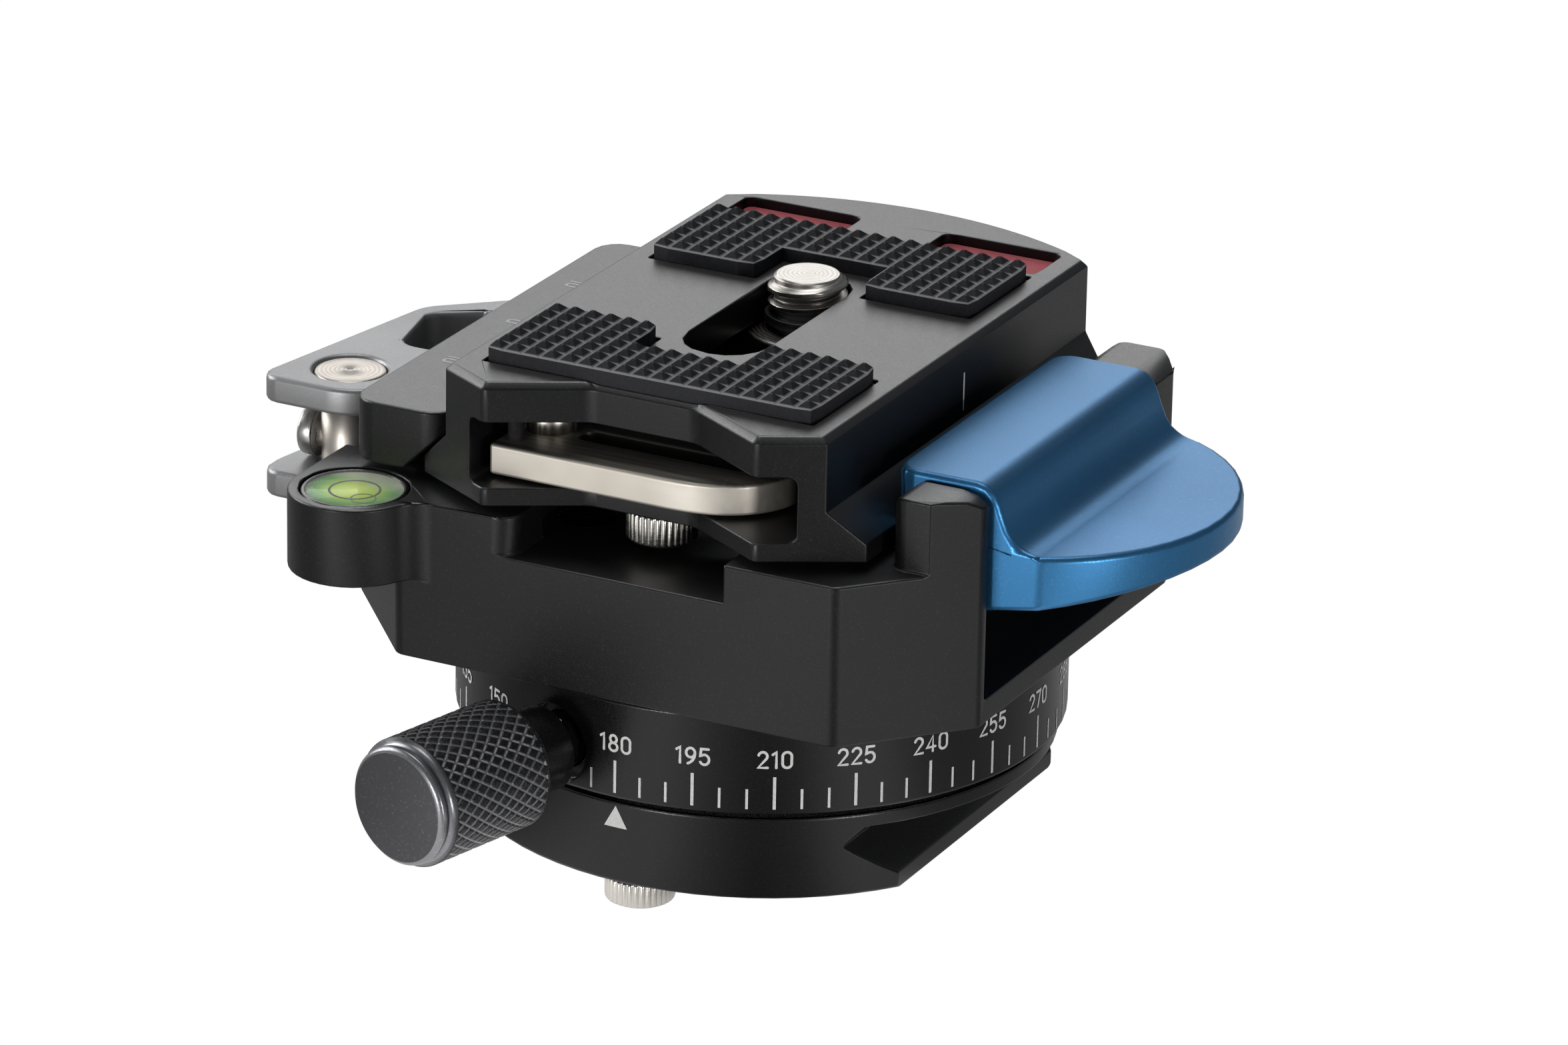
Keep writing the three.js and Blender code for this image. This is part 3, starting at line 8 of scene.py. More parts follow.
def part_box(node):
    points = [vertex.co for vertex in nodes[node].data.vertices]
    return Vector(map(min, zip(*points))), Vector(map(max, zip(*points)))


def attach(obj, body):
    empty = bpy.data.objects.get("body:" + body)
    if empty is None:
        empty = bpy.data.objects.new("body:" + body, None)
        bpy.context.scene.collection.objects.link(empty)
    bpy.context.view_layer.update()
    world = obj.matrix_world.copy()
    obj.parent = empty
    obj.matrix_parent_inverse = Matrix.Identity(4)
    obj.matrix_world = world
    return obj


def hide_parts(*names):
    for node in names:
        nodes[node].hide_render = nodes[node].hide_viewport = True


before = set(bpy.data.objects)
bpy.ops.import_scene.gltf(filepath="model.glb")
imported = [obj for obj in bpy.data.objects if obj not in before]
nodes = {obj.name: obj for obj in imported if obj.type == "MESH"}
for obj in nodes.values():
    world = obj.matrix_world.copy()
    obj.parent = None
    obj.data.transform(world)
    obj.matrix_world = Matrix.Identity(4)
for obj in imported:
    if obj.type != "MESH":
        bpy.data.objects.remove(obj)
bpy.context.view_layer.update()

MM = 0.001

# Sizes and places that the pieces share with the solids, in millimetres
DIAL_R = 24.2
BASE_R = 23.5
KNOB_Z = 10.55
KNOB_R = 5.13
CAM_PIN = (-31.45, -10.4)
BOSS = (-23.06, -24.29)
PLATE_TOP = 39.4
PLATE_SIDE = 16.35
JAW_TOP = 34.5
SCREW_Y = 6.75

# Turns about the pan axis, the dial's in degrees and the knob's in radians
DIAL_TURN = -0.44
KNOB_TURN = math.radians(14.4)

# How far printed marks stand off their surface, in millimetres
INK = 0.012


# Mesh helpers
def make(name, verts, faces, smooth=True):
    """A mesh object from points in millimetres, its faces turned outward."""
    mesh = bpy.data.meshes.new(name)
    mesh.from_pydata([Vector(v) * MM for v in verts], [], faces)
    mesh.validate()
    obj = bpy.data.objects.new(name, mesh)
    bpy.context.scene.collection.objects.link(obj)
    bm = bmesh.new()
    bm.from_mesh(mesh)
    bmesh.ops.remove_doubles(bm, verts=bm.verts, dist=1e-7)
    bmesh.ops.recalc_face_normals(bm, faces=bm.faces)
    bm.to_mesh(mesh)
    bm.free()
    for poly in mesh.polygons:
        poly.use_smooth = smooth
    return obj


def lathe(name, profile, segments=96):
    """Turned body about Z, from a closed profile of (radius, height)."""
    verts, faces = [], []
    n = len(profile)
    for i in range(segments):
        a = 2 * math.pi * i / segments
        for r, z in profile:
            verts.append((r * math.cos(a), r * math.sin(a), z))
    for i in range(segments):
        j = (i + 1) % segments
        for k in range(n):
            m = (k + 1) % n
            faces.append([i * n + k, j * n + k, j * n + m, i * n + m])
    return make(name, verts, faces)


def stack(name, columns, rings):
    """Closed body about Z; each ring is a height and the radius of each of its columns."""
    verts, faces = [], []
    for z, radii in rings:
        for i, r in enumerate(radii):
            a = 2 * math.pi * i / columns
            verts.append((r * math.cos(a), r * math.sin(a), z))
    for j in range(len(rings) - 1):
        low, high = j * columns, (j + 1) * columns
        for i in range(columns):
            m = (i + 1) % columns
            faces.append([low + i, low + m, high + m, high + i])
    last = len(verts) - columns
    faces.append(list(range(columns))[::-1])
    faces.append([last + i for i in range(columns)])
    return make(name, verts, faces)


def prism(name, outline, bottom, top):
    """Upright body from a closed outline of (x, y)."""
    n = len(outline)
    verts = [(x, y, bottom) for x, y in outline] + [(x, y, top) for x, y in outline]
    faces = [list(range(n))[::-1], [n + i for i in range(n)]]
    faces += [[i, (i + 1) % n, n + (i + 1) % n, n + i] for i in range(n)]
    return make(name, verts, faces)


def rounded(corners, steps=6):
    """A closed outline whose corners are rounded by the radius in third place."""
    out = []
    for i, (x, y, r) in enumerate(corners):
        p = Vector((x, y))
        if r == 0:
            out.append((x, y))
            continue
        a = (Vector(corners[i - 1][:2]) - p).normalized()
        b = (Vector(corners[(i + 1) % len(corners)][:2]) - p).normalized()
        half = a.angle(b) / 2
        centre = p + (a + b).normalized() * (r / math.sin(half))
        start = p + a * (r / math.tan(half)) - centre
        end = p + b * (r / math.tan(half)) - centre
        sign = 1 if start.cross(end) > 0 else -1
        sweep = sign * (math.pi - 2 * half)
        for s in range(steps + 1):
            t = sweep * s / steps
            c, n = math.cos(t), math.sin(t)
            out.append((centre.x + start.x * c - start.y * n, centre.y + start.x * n + start.y * c))
    return out


def box_corners(left, near, right, far, radius):
    """Corners of a rectangle for rounded, all with one radius."""
    return [(left, near, radius), (right, near, radius), (right, far, radius), (left, far, radius)]


def soften(obj, width, segments=2, angle=30, flat=True):
    """Rounds every edge sharper than the angle; flat also merges flat faces first."""
    weld = obj.modifiers.new("weld", "WELD")
    weld.merge_threshold = 0.002 * MM
    if flat:
        planar = obj.modifiers.new("planar", "DECIMATE")
        planar.decimate_type = "DISSOLVE"
        planar.angle_limit = math.radians(0.7)
    bevel = obj.modifiers.new("bevel", "BEVEL")
    bevel.width = width * MM
    bevel.segments = segments
    bevel.limit_method = "ANGLE"
    bevel.angle_limit = math.radians(angle)
    bevel.use_clamp_overlap = False
    bevel.miter_outer = "MITER_ARC"
    normal = obj.modifiers.new("normal", "WEIGHTED_NORMAL")
    normal.weight = 60
    return obj


def dress(name, material, width, angle=30, flat=True):
    """Gives a CAD node its finish and rounded edges; a width of 0 leaves its edges as they are."""
    obj = nodes[name]
    obj.data.materials.clear()
    obj.data.materials.append(material)
    obj.data.polygons.foreach_set("use_smooth", [width > 0] * len(obj.data.polygons))
    if width > 0:
        soften(obj, width, angle=angle, flat=flat)


def add(obj, body, material, replaced=()):
    """Puts a new piece on its body, in place of the CAD nodes it stands for."""
    obj.data.materials.clear()
    obj.data.materials.append(material)
    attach(obj, body)
    if replaced:
        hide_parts(*replaced)


def move(obj, matrix):
    obj.data.transform(matrix)
    obj.data.update()
    return obj


def shift(obj, x, y, z=0):
    return move(obj, Matrix.Translation((x * MM, y * MM, z * MM)))


def to_knob(obj):
    """Turns a body built along +Z to the outward knob axis and lifts it to the axis height."""
    down = Matrix.Rotation(math.radians(90), 4, "X")
    turn = Matrix.Rotation(-KNOB_TURN, 4, "Z")
    return move(obj, Matrix.Translation((0, 0, KNOB_Z * MM)) @ turn @ down)


def along(axis, obj, x, y, z):
    """Lays a body built along +Z along X or Y."""
    about, degrees = ("Y", 90) if axis == "X" else ("X", -90)
    move(obj, Matrix.Rotation(math.radians(degrees), 4, about))
    shift(obj, x, y, z)


# Materials
class Look:
    """A procedural material being built; every texture is in object space, in metres."""

    def __init__(self, name):
        self.material = bpy.data.materials.new(name)
        self.material.use_nodes = True
        self.tree = self.material.node_tree
        self.shader = self.tree.nodes["Principled BSDF"]
        self.place = self.node("ShaderNodeTexCoord").outputs["Object"]

    def node(self, kind, **values):
        made = self.tree.nodes.new(kind)
        for key, value in values.items():
            setattr(made, key, value)
        return made

    def link(self, a, b):
        self.tree.links.new(a, b)

    def set(self, **values):
        for key, value in values.items():
            self.shader.inputs[key.replace("_", " ")].default_value = value

    def to(self, value, socket):
        self.link(value, self.shader.inputs[socket])

    def noise(self, scale, detail=2.0, rough=0.5, stretch=(1, 1, 1)):
        mapping = self.node("ShaderNodeMapping")
        mapping.inputs["Scale"].default_value = stretch
        self.link(self.place, mapping.inputs["Vector"])
        noise = self.node("ShaderNodeTexNoise")
        noise.inputs["Scale"].default_value = scale
        noise.inputs["Detail"].default_value = detail
        noise.inputs["Roughness"].default_value = rough
        self.link(mapping.outputs["Vector"], noise.inputs["Vector"])
        return noise.outputs["Fac"]

    def ramp(self, value, stops):
        ramp = self.node("ShaderNodeValToRGB")
        elements = ramp.color_ramp.elements
        while len(elements) < len(stops):
            elements.new(0.5)
        for element, (place, color) in zip(elements, stops):
            element.position = place
            element.color = (*color, 1)
        self.link(value, ramp.inputs["Fac"])
        return ramp.outputs["Color"]

    def tone(self, value, color, shade, start=0.3, end=0.7):
        """The colour with a darker version of itself, by the shade, at the low values."""
        dark = tuple(c * shade for c in color)
        return self.ramp(value, [(start, dark), (end, color)])

    def spread(self, value, low, high, start=0.3, end=0.7):
        spread = self.node("ShaderNodeMapRange")
        spread.inputs["From Min"].default_value = start
        spread.inputs["From Max"].default_value = end
        spread.inputs["To Min"].default_value = low
        spread.inputs["To Max"].default_value = high
        self.link(value, spread.inputs["Value"])
        return spread.outputs["Result"]

    def bump(self, value, distance):
        bump = self.node("ShaderNodeBump")
        bump.inputs["Distance"].default_value = distance * MM
        bump.inputs["Strength"].default_value = 1.0
        self.link(value, bump.inputs["Height"])
        return bump.outputs["Normal"]

    def mix(self, fac, a, b):
        mix = self.node("ShaderNodeMix", data_type="RGBA")
        for socket, value in ((mix.inputs[0], fac), (mix.inputs[6], a), (mix.inputs[7], b)):
            if isinstance(value, bpy.types.NodeSocket):
                self.link(value, socket)
            else:
                socket.default_value = value
        return mix.outputs[2]

    def math(self, operation, a, b, **values):
        result = self.node("ShaderNodeMath", operation=operation, **values)
        self.link(a, result.inputs[0])
        self.link(b, result.inputs[1])
        return result.outputs[0]

    def axis(self, letter):
        """One coordinate of the place."""
        parts = self.node("ShaderNodeSeparateXYZ")
        self.link(self.place, parts.inputs[0])
        return parts.outputs[letter]

    def around(self, centre):
        """The place in X and Y, measured from a centre."""
        mapping = self.node("ShaderNodeMapping")
        mapping.inputs["Location"].default_value = (-centre[0] * MM, -centre[1] * MM, 0)
        mapping.inputs["Scale"].default_value = (1, 1, 0)
        self.link(self.place, mapping.inputs["Vector"])
        return mapping.outputs["Vector"]

    def length(self, vector):
        length = self.node("ShaderNodeVectorMath", operation="LENGTH")
        self.link(vector, length.inputs[0])
        return length.outputs["Value"]

    def facing_up(self, low, high):
        """From low on upright faces to high on level ones."""
        geometry = self.node("ShaderNodeNewGeometry")
        parts = self.node("ShaderNodeSeparateXYZ")
        self.link(geometry.outputs["Normal"], parts.inputs[0])
        return self.spread(parts.outputs["Z"], low, high, start=0.5, end=0.9)


# Noise scales of the blasted aluminium, in cells per metre
GRAIN = 9000
FLECKS = 5200


def anodised(name, color, lift, roughness, metallic, grain=0.006, fleck=0.5):
    """Bead blasted and anodised aluminium: fine grain and small flecks, with more sheen on level faces."""
    look = Look(name)
    look.set(Metallic=metallic, IOR=1.8)
    look.to(look.facing_up(0.19, 1.0), "Specular IOR Level")
    fine = look.noise(GRAIN, detail=2.5, rough=0.6)
    flecks = look.noise(FLECKS, detail=1.0)
    broad = look.noise(60, detail=3.0)
    shine = look.spread(flecks, 0, fleck, start=0.6, end=0.78)
    look.to(look.mix(shine, look.tone(broad, color, 0.8), (*lift, 1)), "Base Color")
    look.to(look.spread(fine, roughness - 0.06, roughness + 0.08), "Roughness")
    look.to(look.bump(fine, grain), "Normal")
    return look.material


def steel(name, color, roughness, stretch, scale):
    """Steel with fine marks; stretch sets the way the marks run."""
    look = Look(name)
    look.set(Metallic=1.0)
    marks = look.noise(scale, detail=3.0, rough=0.6, stretch=stretch)
    broad = look.noise(120)
    look.to(look.tone(broad, color, 0.86), "Base Color")
    look.to(look.spread(marks, roughness - 0.07, roughness + 0.1), "Roughness")
    look.to(look.bump(marks, 0.004), "Normal")
    return look.material


def turned_steel(name, color, roughness, centre):
    """Steel with rings about a centre, as left by a lathe tool."""
    look = Look(name)
    look.set(Metallic=1.0)
    wave = look.node("ShaderNodeTexWave", wave_type="RINGS", rings_direction="SPHERICAL")
    wave.inputs["Scale"].default_value = 900
    wave.inputs["Distortion"].default_value = 3.0
    wave.inputs["Detail"].default_value = 2.0
    look.link(look.around(centre), wave.inputs["Vector"])
    rings = wave.outputs["Fac"]
    broad = look.noise(700)
    look.to(look.tone(broad, color, 0.88), "Base Color")
    look.to(look.spread(rings, roughness - 0.05, roughness + 0.08, start=0, end=1), "Roughness")
    look.to(look.bump(rings, 0.001), "Normal")
    return look.material


def moulded(name, color, roughness, grain, scale=2600):
    """Matt moulded rubber or plastic with a light skin texture."""
    look = Look(name)
    look.set(Metallic=0.0)
    skin = look.noise(scale, detail=3.0, rough=0.6)
    broad = look.noise(200)
    pale = tuple(min(1, c * 1.35 + 0.002) for c in color)
    look.to(look.ramp(broad, [(0.3, color), (0.75, pale)]), "Base Color")
    look.to(look.spread(skin, roughness - 0.08, roughness + 0.08), "Roughness")
    look.to(look.bump(skin, grain), "Normal")
    return look.material


def printed(name, color):
    """Matt ink with faint specks."""
    look = Look(name)
    look.set(Roughness=0.5)
    look.to(look.tone(look.noise(4000), color, 0.86, end=0.6), "Base Color")
    return look.material


def knurled_finish():
    """Dark grey anodising whose knurl grooves are painted brighter, by the distance from the knob's axis, as
    a painted highlight.
    """
    cut_floor, cut_rim = KNOB_R - 0.13, KNOB_R - 0.02
    look = Look("knob_dark")
    look.set(Metallic=0.75)
    centred = look.node("ShaderNodeVectorMath", operation="SUBTRACT")
    centred.inputs[1].default_value = (0, 0, KNOB_Z * MM)
    look.link(look.place, centred.inputs[0])
    across = look.node("ShaderNodeVectorMath", operation="CROSS_PRODUCT")
    across.inputs[1].default_value = (-math.sin(KNOB_TURN), -math.cos(KNOB_TURN), 0)
    look.link(centred.outputs["Vector"], across.inputs[0])
    distance = look.length(across.outputs["Vector"])
    # Painted highlight: this groove mask and the pale grey mixed in below stand in for light caught by the
    # groove flanks
    cut = look.spread(distance, 1, 0, cut_floor * MM, cut_rim * MM)
    fine = look.noise(GRAIN, detail=2.5, rough=0.6)
    flecks = look.spread(look.noise(FLECKS, detail=1.0), 0, 0.55, start=0.55, end=0.78)
    body = look.mix(flecks, (0.035, 0.035, 0.038, 1), (0.2, 0.2, 0.21, 1))
    look.to(look.mix(cut, body, (0.34, 0.34, 0.35, 1)), "Base Color")
    look.to(look.spread(fine, 0.36, 0.5), "Roughness")
    look.to(look.bump(fine, 0.006), "Normal")
    return look.material


def loop_finish():
    """Brushed nickel steel: streaks along the bar, upright faces painted lighter than the top, and painted
    shade behind.
    """
    rear_start, rear_end = -17.6, -16.6
    look = Look("loop_steel")
    look.set(Metallic=0.72)
    streaks = look.noise(1100, detail=3.0, rough=0.65, stretch=(0.06, 1.6, 1.0))
    broad = look.noise(160)
    bright = look.ramp(broad, [(0.3, (0.60, 0.55, 0.48)), (0.7, (0.74, 0.69, 0.61))])
    worn = look.spread(streaks, 0.1, 1.0, start=0.35, end=0.65)
    drawn = look.mix(worn, (0.15, 0.14, 0.12, 1), (0.50, 0.465, 0.41, 1))
    # Painted light: upright faces take the bright tone and level faces the darker brush streaks
    painted_facing_tone = look.mix(look.facing_up(0, 1), bright, drawn)
    # Painted shade on the loop's rear, which lies under the plate, mixed to a dark colour below
    painted_rear_shade = look.spread(look.axis("Y"), 0, 1, rear_start * MM, rear_end * MM)
    look.to(look.mix(painted_rear_shade, painted_facing_tone, (0.11, 0.104, 0.095, 1)), "Base Color")
    look.to(look.spread(streaks, 0.36, 0.56), "Roughness")
    look.to(look.bump(streaks, 0.01), "Normal")
    return look.material


def pad_finish():
    """Black rubber whose moulded grooves are a little paler, by the height in the plate."""
    rise_start, rise_end, fall_start, fall_end = (PLATE_TOP + h for h in (0.99, 1.03, 1.08, 1.16))
    look = Look("black_rubber")
    height = look.axis("Z")
    over = look.spread(height, 0, 1, rise_start * MM, rise_end * MM)
    under = look.spread(height, 1, 0, fall_start * MM, fall_end * MM)
    groove = look.math("MULTIPLY", over, under)
    skin = look.noise(3200, detail=3.0, rough=0.6)
    tone = look.ramp(skin, [(0.3, (0.011, 0.011, 0.014)), (0.75, (0.025, 0.025, 0.029))])
    look.to(look.mix(groove, tone, (0.27, 0.27, 0.275, 1)), "Base Color")
    look.set(Specular_IOR_Level=0.3)
    look.to(look.spread(skin, 0.6, 0.74), "Roughness")
    look.to(look.bump(skin, 0.008), "Normal")
    return look.material


# Anodised aluminium, each with its colour, the colour of its flecks, roughness and share of metal
ink_black = (0.006, 0.006, 0.0068)
black = anodised("black_anodised", ink_black, (0.035, 0.035, 0.04), 0.38, 0.05, fleck=0.4)
smooth_black = anodised("black_anodised_smooth", ink_black, (0.03, 0.03, 0.033), 0.27, 0.05, 0.003, 0.3)
grey = anodised("grey_anodised", (0.40, 0.40, 0.405), (0.55, 0.55, 0.56), 0.44, 0.85, fleck=0.3)
blue = anodised("blue_anodised", (0.055, 0.24, 0.50), (0.11, 0.36, 0.64), 0.36, 0.78, fleck=0.35)
knob_face = anodised("knob_face", (0.10, 0.10, 0.108), (0.22, 0.22, 0.23), 0.45, 0.7)
knob_bright = anodised("knob_bright", (0.33, 0.33, 0.35), (0.5, 0.5, 0.52), 0.32, 0.85, 0.004)
knob_dark = knurled_finish()

# Steel and bronze
loop_steel = loop_finish()
pin_steel = turned_steel("pin_steel", (0.60, 0.555, 0.50), 0.34, CAM_PIN)
screw_steel = turned_steel("screw_steel", (0.62, 0.59, 0.55), 0.3, (0, SCREW_Y))
stop_steel = steel("stop_steel", (0.70, 0.67, 0.62), 0.28, (1, 1, 14), 700)
plain_steel = steel("plain_steel", (0.60, 0.59, 0.57), 0.3, (14, 1, 1), 800)
dark_steel = steel("dark_steel", (0.24, 0.24, 0.25), 0.38, (1, 1, 1), 1500)
bronze = steel("bronze", (0.42, 0.24, 0.09), 0.4, (1, 1, 1), 1500)

# Rubber, plastic, oxide and ink
rubber = pad_finish()
red = moulded("red_rubber", (0.42, 0.085, 0.10), 0.75, 0.03, 3400)
acetal = moulded("acetal", (0.6, 0.58, 0.52), 0.5, 0.01)
oxide = moulded("oxide", (0.003, 0.003, 0.003), 0.85, 0.01)
white_print = printed("white_print", (0.82, 0.82, 0.80))
faint_print = printed("engraved_print", (0.62, 0.62, 0.60))
ring_print = printed("ring_print", (0.004, 0.004, 0.004))
bubble_print = printed("bubble_rim", (0.04, 0.16, 0.01))

# CAD nodes that keep their shape: outer ones first, then inner ones by finish and edge width
dress("base_plate", smooth_black, 0.16)
dress("dial_housing", smooth_black, 0.12)
dress("clamp_body", black, 0.2, flat=False)
dress("left_jaw", black, 0.25)
dress("jaw_lever", blue, 0.5, angle=22)
dress("camera_plate", black, 0.14, flat=False)
dress("cam_lever", grey, 0.4)
INNER_NODES = (
    (plain_steel, 0.08, ("pan_spindle", "base_bush", "trigger_bush", "bolt_anchor")),
    (dark_steel, 0.06, ("spindle_screw_1", "spindle_screw_2", "spindle_screw_3", "preload_nut",
                        "screw_clip", "lock_screw", "housing_screw_1", "housing_screw_2",
                        "housing_screw_3", "housing_screw_4")),
    (plain_steel, 0.1, ("jaw_guide_pin_1", "jaw_guide_pin_2")),
    (bronze, 0.06, ("preload_washer", "brake_shoe")),
    (acetal, 0.06, ("thrust_washer", "trigger_plunger")),
    (dark_steel, 0, ("lever_spring", "trigger_spring")),
)
for finish, edge, names in INNER_NODES:
    for name in names:
        dress(name, finish, edge)


# Pads
def pad_piece(name, origin_y, sign, node):
    """Rubber pad: a bar with two lobes, moulded with rows of small pyramids."""
    pitch, columns, lobe_columns, bar_rows, lobe_rows = 1.56, 18, 6, 4, 3
    base_z, foot_z, tip_z = 39.1, PLATE_TOP + 1.05, 40.92
    half_tip, half_foot, foot_rise, corner = 0.13, 0.64, 0.03, 0.8
    wide, deep = pitch * columns, pitch * (bar_rows + lobe_rows)
    lobe, bar = pitch * lobe_columns, pitch * bar_rows
    left = -wide / 2
    square = ((-1, -1), (1, -1), (1, 1), (-1, 1))
    sides = ((0, -1), (1, 0), (0, 1), (-1, 0))
    cells = [(i, j) for j in range(bar_rows + lobe_rows) for i in range(columns)
             if j < bar_rows or i < lobe_columns or i >= columns - lobe_columns]
    taken = set(cells)
    verts, faces = [], []

    def put(x, y, z):
        """Adds a point, pulled in where it lies outside a rounded corner."""
        side = min(x, wide - x)
        cx = min(max(x, corner), wide - corner)
        cy = min(max(y, corner), deep - corner)
        if y > bar + corner and side > lobe - corner:
            cx = lobe - corner if x < wide / 2 else wide - lobe + corner
        reach = math.hypot(x - cx, y - cy)
        if x != cx and y != cy and reach > corner:
            x, y = cx + (x - cx) * corner / reach, cy + (y - cy) * corner / reach
        verts.append((left + x, origin_y + sign * y, z))
        return len(verts) - 1

    def level(x, y, half, z):
        return [put(x + a * half, y + b * half, z) for a, b in square]

    for i, j in cells:
        x, y = (i + 0.5) * pitch, (j + 0.5) * pitch
        rim = level(x, y, pitch / 2, foot_z)
        foot = level(x, y, half_foot, foot_z + foot_rise)
        tip = level(x, y, half_tip, tip_z)
        low = level(x, y, pitch / 2, base_z)
        for lower, upper in ((rim, foot), (foot, tip)):
            for k in range(4):
                m = (k + 1) % 4
                faces.append([lower[k], lower[m], upper[m], upper[k]])
        faces.append(tip)
        faces.append(low[::-1])
        for k, (di, dj) in enumerate(sides):
            if (i + di, j + dj) not in taken:
                m = (k + 1) % 4
                faces.append([low[k], low[m], rim[m], rim[k]])
    add(make(name, verts, faces, smooth=False), "plate", rubber, [node])


pad_piece("near_pad_rubber", origin_y=-20.1, sign=1, node="near_pad")
pad_piece("far_pad_rubber", origin_y=17.7, sign=-1, node="far_pad")


# Inserts in the far pockets
def insert_piece(name):
    """Red block with rounded corners, its top a little under the plate."""
    corner, sink = 0.7, 0.75
    low, high = (Vector(v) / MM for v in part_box(name))
    outline = rounded(box_corners(low.x, low.y, high.x, high.y, corner))
    obj = prism(name + "_block", outline, low.z, PLATE_TOP - sink)
    add(soften(obj, 0.15, segments=3, angle=40, flat=False), "plate", red, [name])


insert_piece("left_insert")
insert_piece("right_insert")


# Knob, cap and collar, each built along +Z, outward from the pan axis
def knurled_knob():
    """The knob with its crossed knurl, and the bright shoulder round its face."""
    start, shoulder, end, bore = 29.6, 40.05, 40.5, 1.7
    depth, around, lead, groove = 0.15, 30, 1.5, 0.33
    bevel, plain_rear, plain_front = 0.3, 0.55, 0.12
    columns, rows = around * 14, 140

    def radius(i, z):
        rim = bevel * max(0.0, 1 - (z - start) / bevel)
        if z < start + plain_rear or z > shoulder - plain_front:
            return KNOB_R - rim
        u, v = around * i / columns, (z - start) / lead
        p = abs(((u + v) % 1.0) * 2 - 1)
        q = abs(((u - v) % 1.0) * 2 - 1)
        cut = max(0.0, (max(p, q) - 1 + groove) / groove)
        return KNOB_R - max(depth * cut, rim)

    heights = [start + (shoulder - start) * j / rows for j in range(rows + 1)]
    rings = [(start, [bore] * columns)]
    rings += [(z, [radius(i, z) for i in range(columns)]) for z in heights]
    add(to_knob(stack("knob_knurl", columns, rings)), "knob", knob_dark, ["lock_knob"])
    inner, face, seat, hole, sunk = 5.0, 4.45, shoulder - 0.02, 2.85, 0.02
    profile = [(inner, seat), (KNOB_R - sunk, shoulder), (face + 0.1, end - 0.04), (face, end),
               (hole, end), (hole, seat)]
    add(to_knob(lathe("knob_shoulder", profile, 128)), "knob", knob_bright)


def knob_cap():
    """The knob's end cap: a flat face, a bright bevelled rim and a stem."""
    top, seat, foot = 41.5, 40.7, 38.9
    face, outer, stem = 4.34, 4.7, 2.7
    disc = [(0, top), (face - 0.06, top), (face, top - 0.02), (face, top - 0.1), (0, top - 0.1)]
    add(to_knob(lathe("knob_cap_face", disc, 128)), "knob", knob_face, ["knob_cap"])
    rim = [(face - 0.04, top - 0.05), (face + 0.01, top - 0.02), (outer - 0.03, top - 0.34),
           (outer, top - 0.42), (outer, seat + 0.06), (outer - 0.06, seat), (stem, seat), (stem, top - 0.2)]
    add(to_knob(lathe("knob_cap_rim", rim, 128)), "knob", knob_bright)
    post = [(0, foot), (stem, foot), (stem, seat + 0.1), (0, seat + 0.1)]
    add(to_knob(lathe("knob_cap_stem", post, 64)), "knob", knob_dark)


def collar():
    """Smooth sleeve between the housing and the knob, a little slimmer towards the knob."""
    rear, step, front = 21.6, 25.4, 29.3
    bore, neck, wide, slim = 1.8, 2.2, 3.47, 3.36
    profile = [(bore, rear), (neck, rear), (neck, step), (wide - 0.09, step), (wide, step + 0.08),
               (wide - 0.05, step + 1.1), (slim, front - 0.1), (slim - 0.1, front), (bore, front)]
    obj = soften(to_knob(lathe("collar_sleeve", profile)), 0.03, angle=40, flat=False)
    add(obj, "deck", smooth_black, ["lock_collar"])


knurled_knob()
knob_cap()
collar()


# Stop pins
def stop_pin(body, side, y, bottom, top, radius, shank_top):
    """Stop pin: a finely fluted head with chamfered rims on a plain shank."""
    flutes, per_flute, depth, land = 34, 6, 0.17, 0.2
    shank, shank_tip, chamfer = 1.5, 1.3, 0.2
    name = body + "_stop_" + side
    columns = flutes * per_flute
    rims = ((bottom, 0.5), (bottom + 0.22, 0.08), (bottom + 0.34, 0),
            (top - 0.3, 0), (top - 0.14, 0.1), (top, 0.32))
    waves = [abs(((i / per_flute) % 1.0) * 2 - 1) for i in range(columns)]
    cuts = [depth * max(0.0, (wave - land) / (1 - land)) for wave in waves]
    rings = [(z, [radius - max(cut, inset) for cut in cuts]) for z, inset in rims]
    head = stack(name, columns, rings)
    foot = top - 0.05
    profile = [(0, foot), (shank, foot), (shank, shank_top - chamfer), (shank_tip, shank_top), (0, shank_top)]
    rod = lathe(name + "_shank", profile, 40)
    add(shift(head, 0, y), body, stop_steel, [body + "_stop_pin_" + side])
    add(shift(rod, 0, y), body, stop_steel)


for side, y in (("near", -20.2), ("far", 20.2)):
    stop_pin("base", side, y, bottom=-2.35, top=-0.1, radius=2.75, shank_top=3.4)
for side, y in (("near", -17.3), ("far", 20.5)):
    stop_pin("plate", side, y, bottom=26.65, top=29.3, radius=2.8, shank_top=30.6)


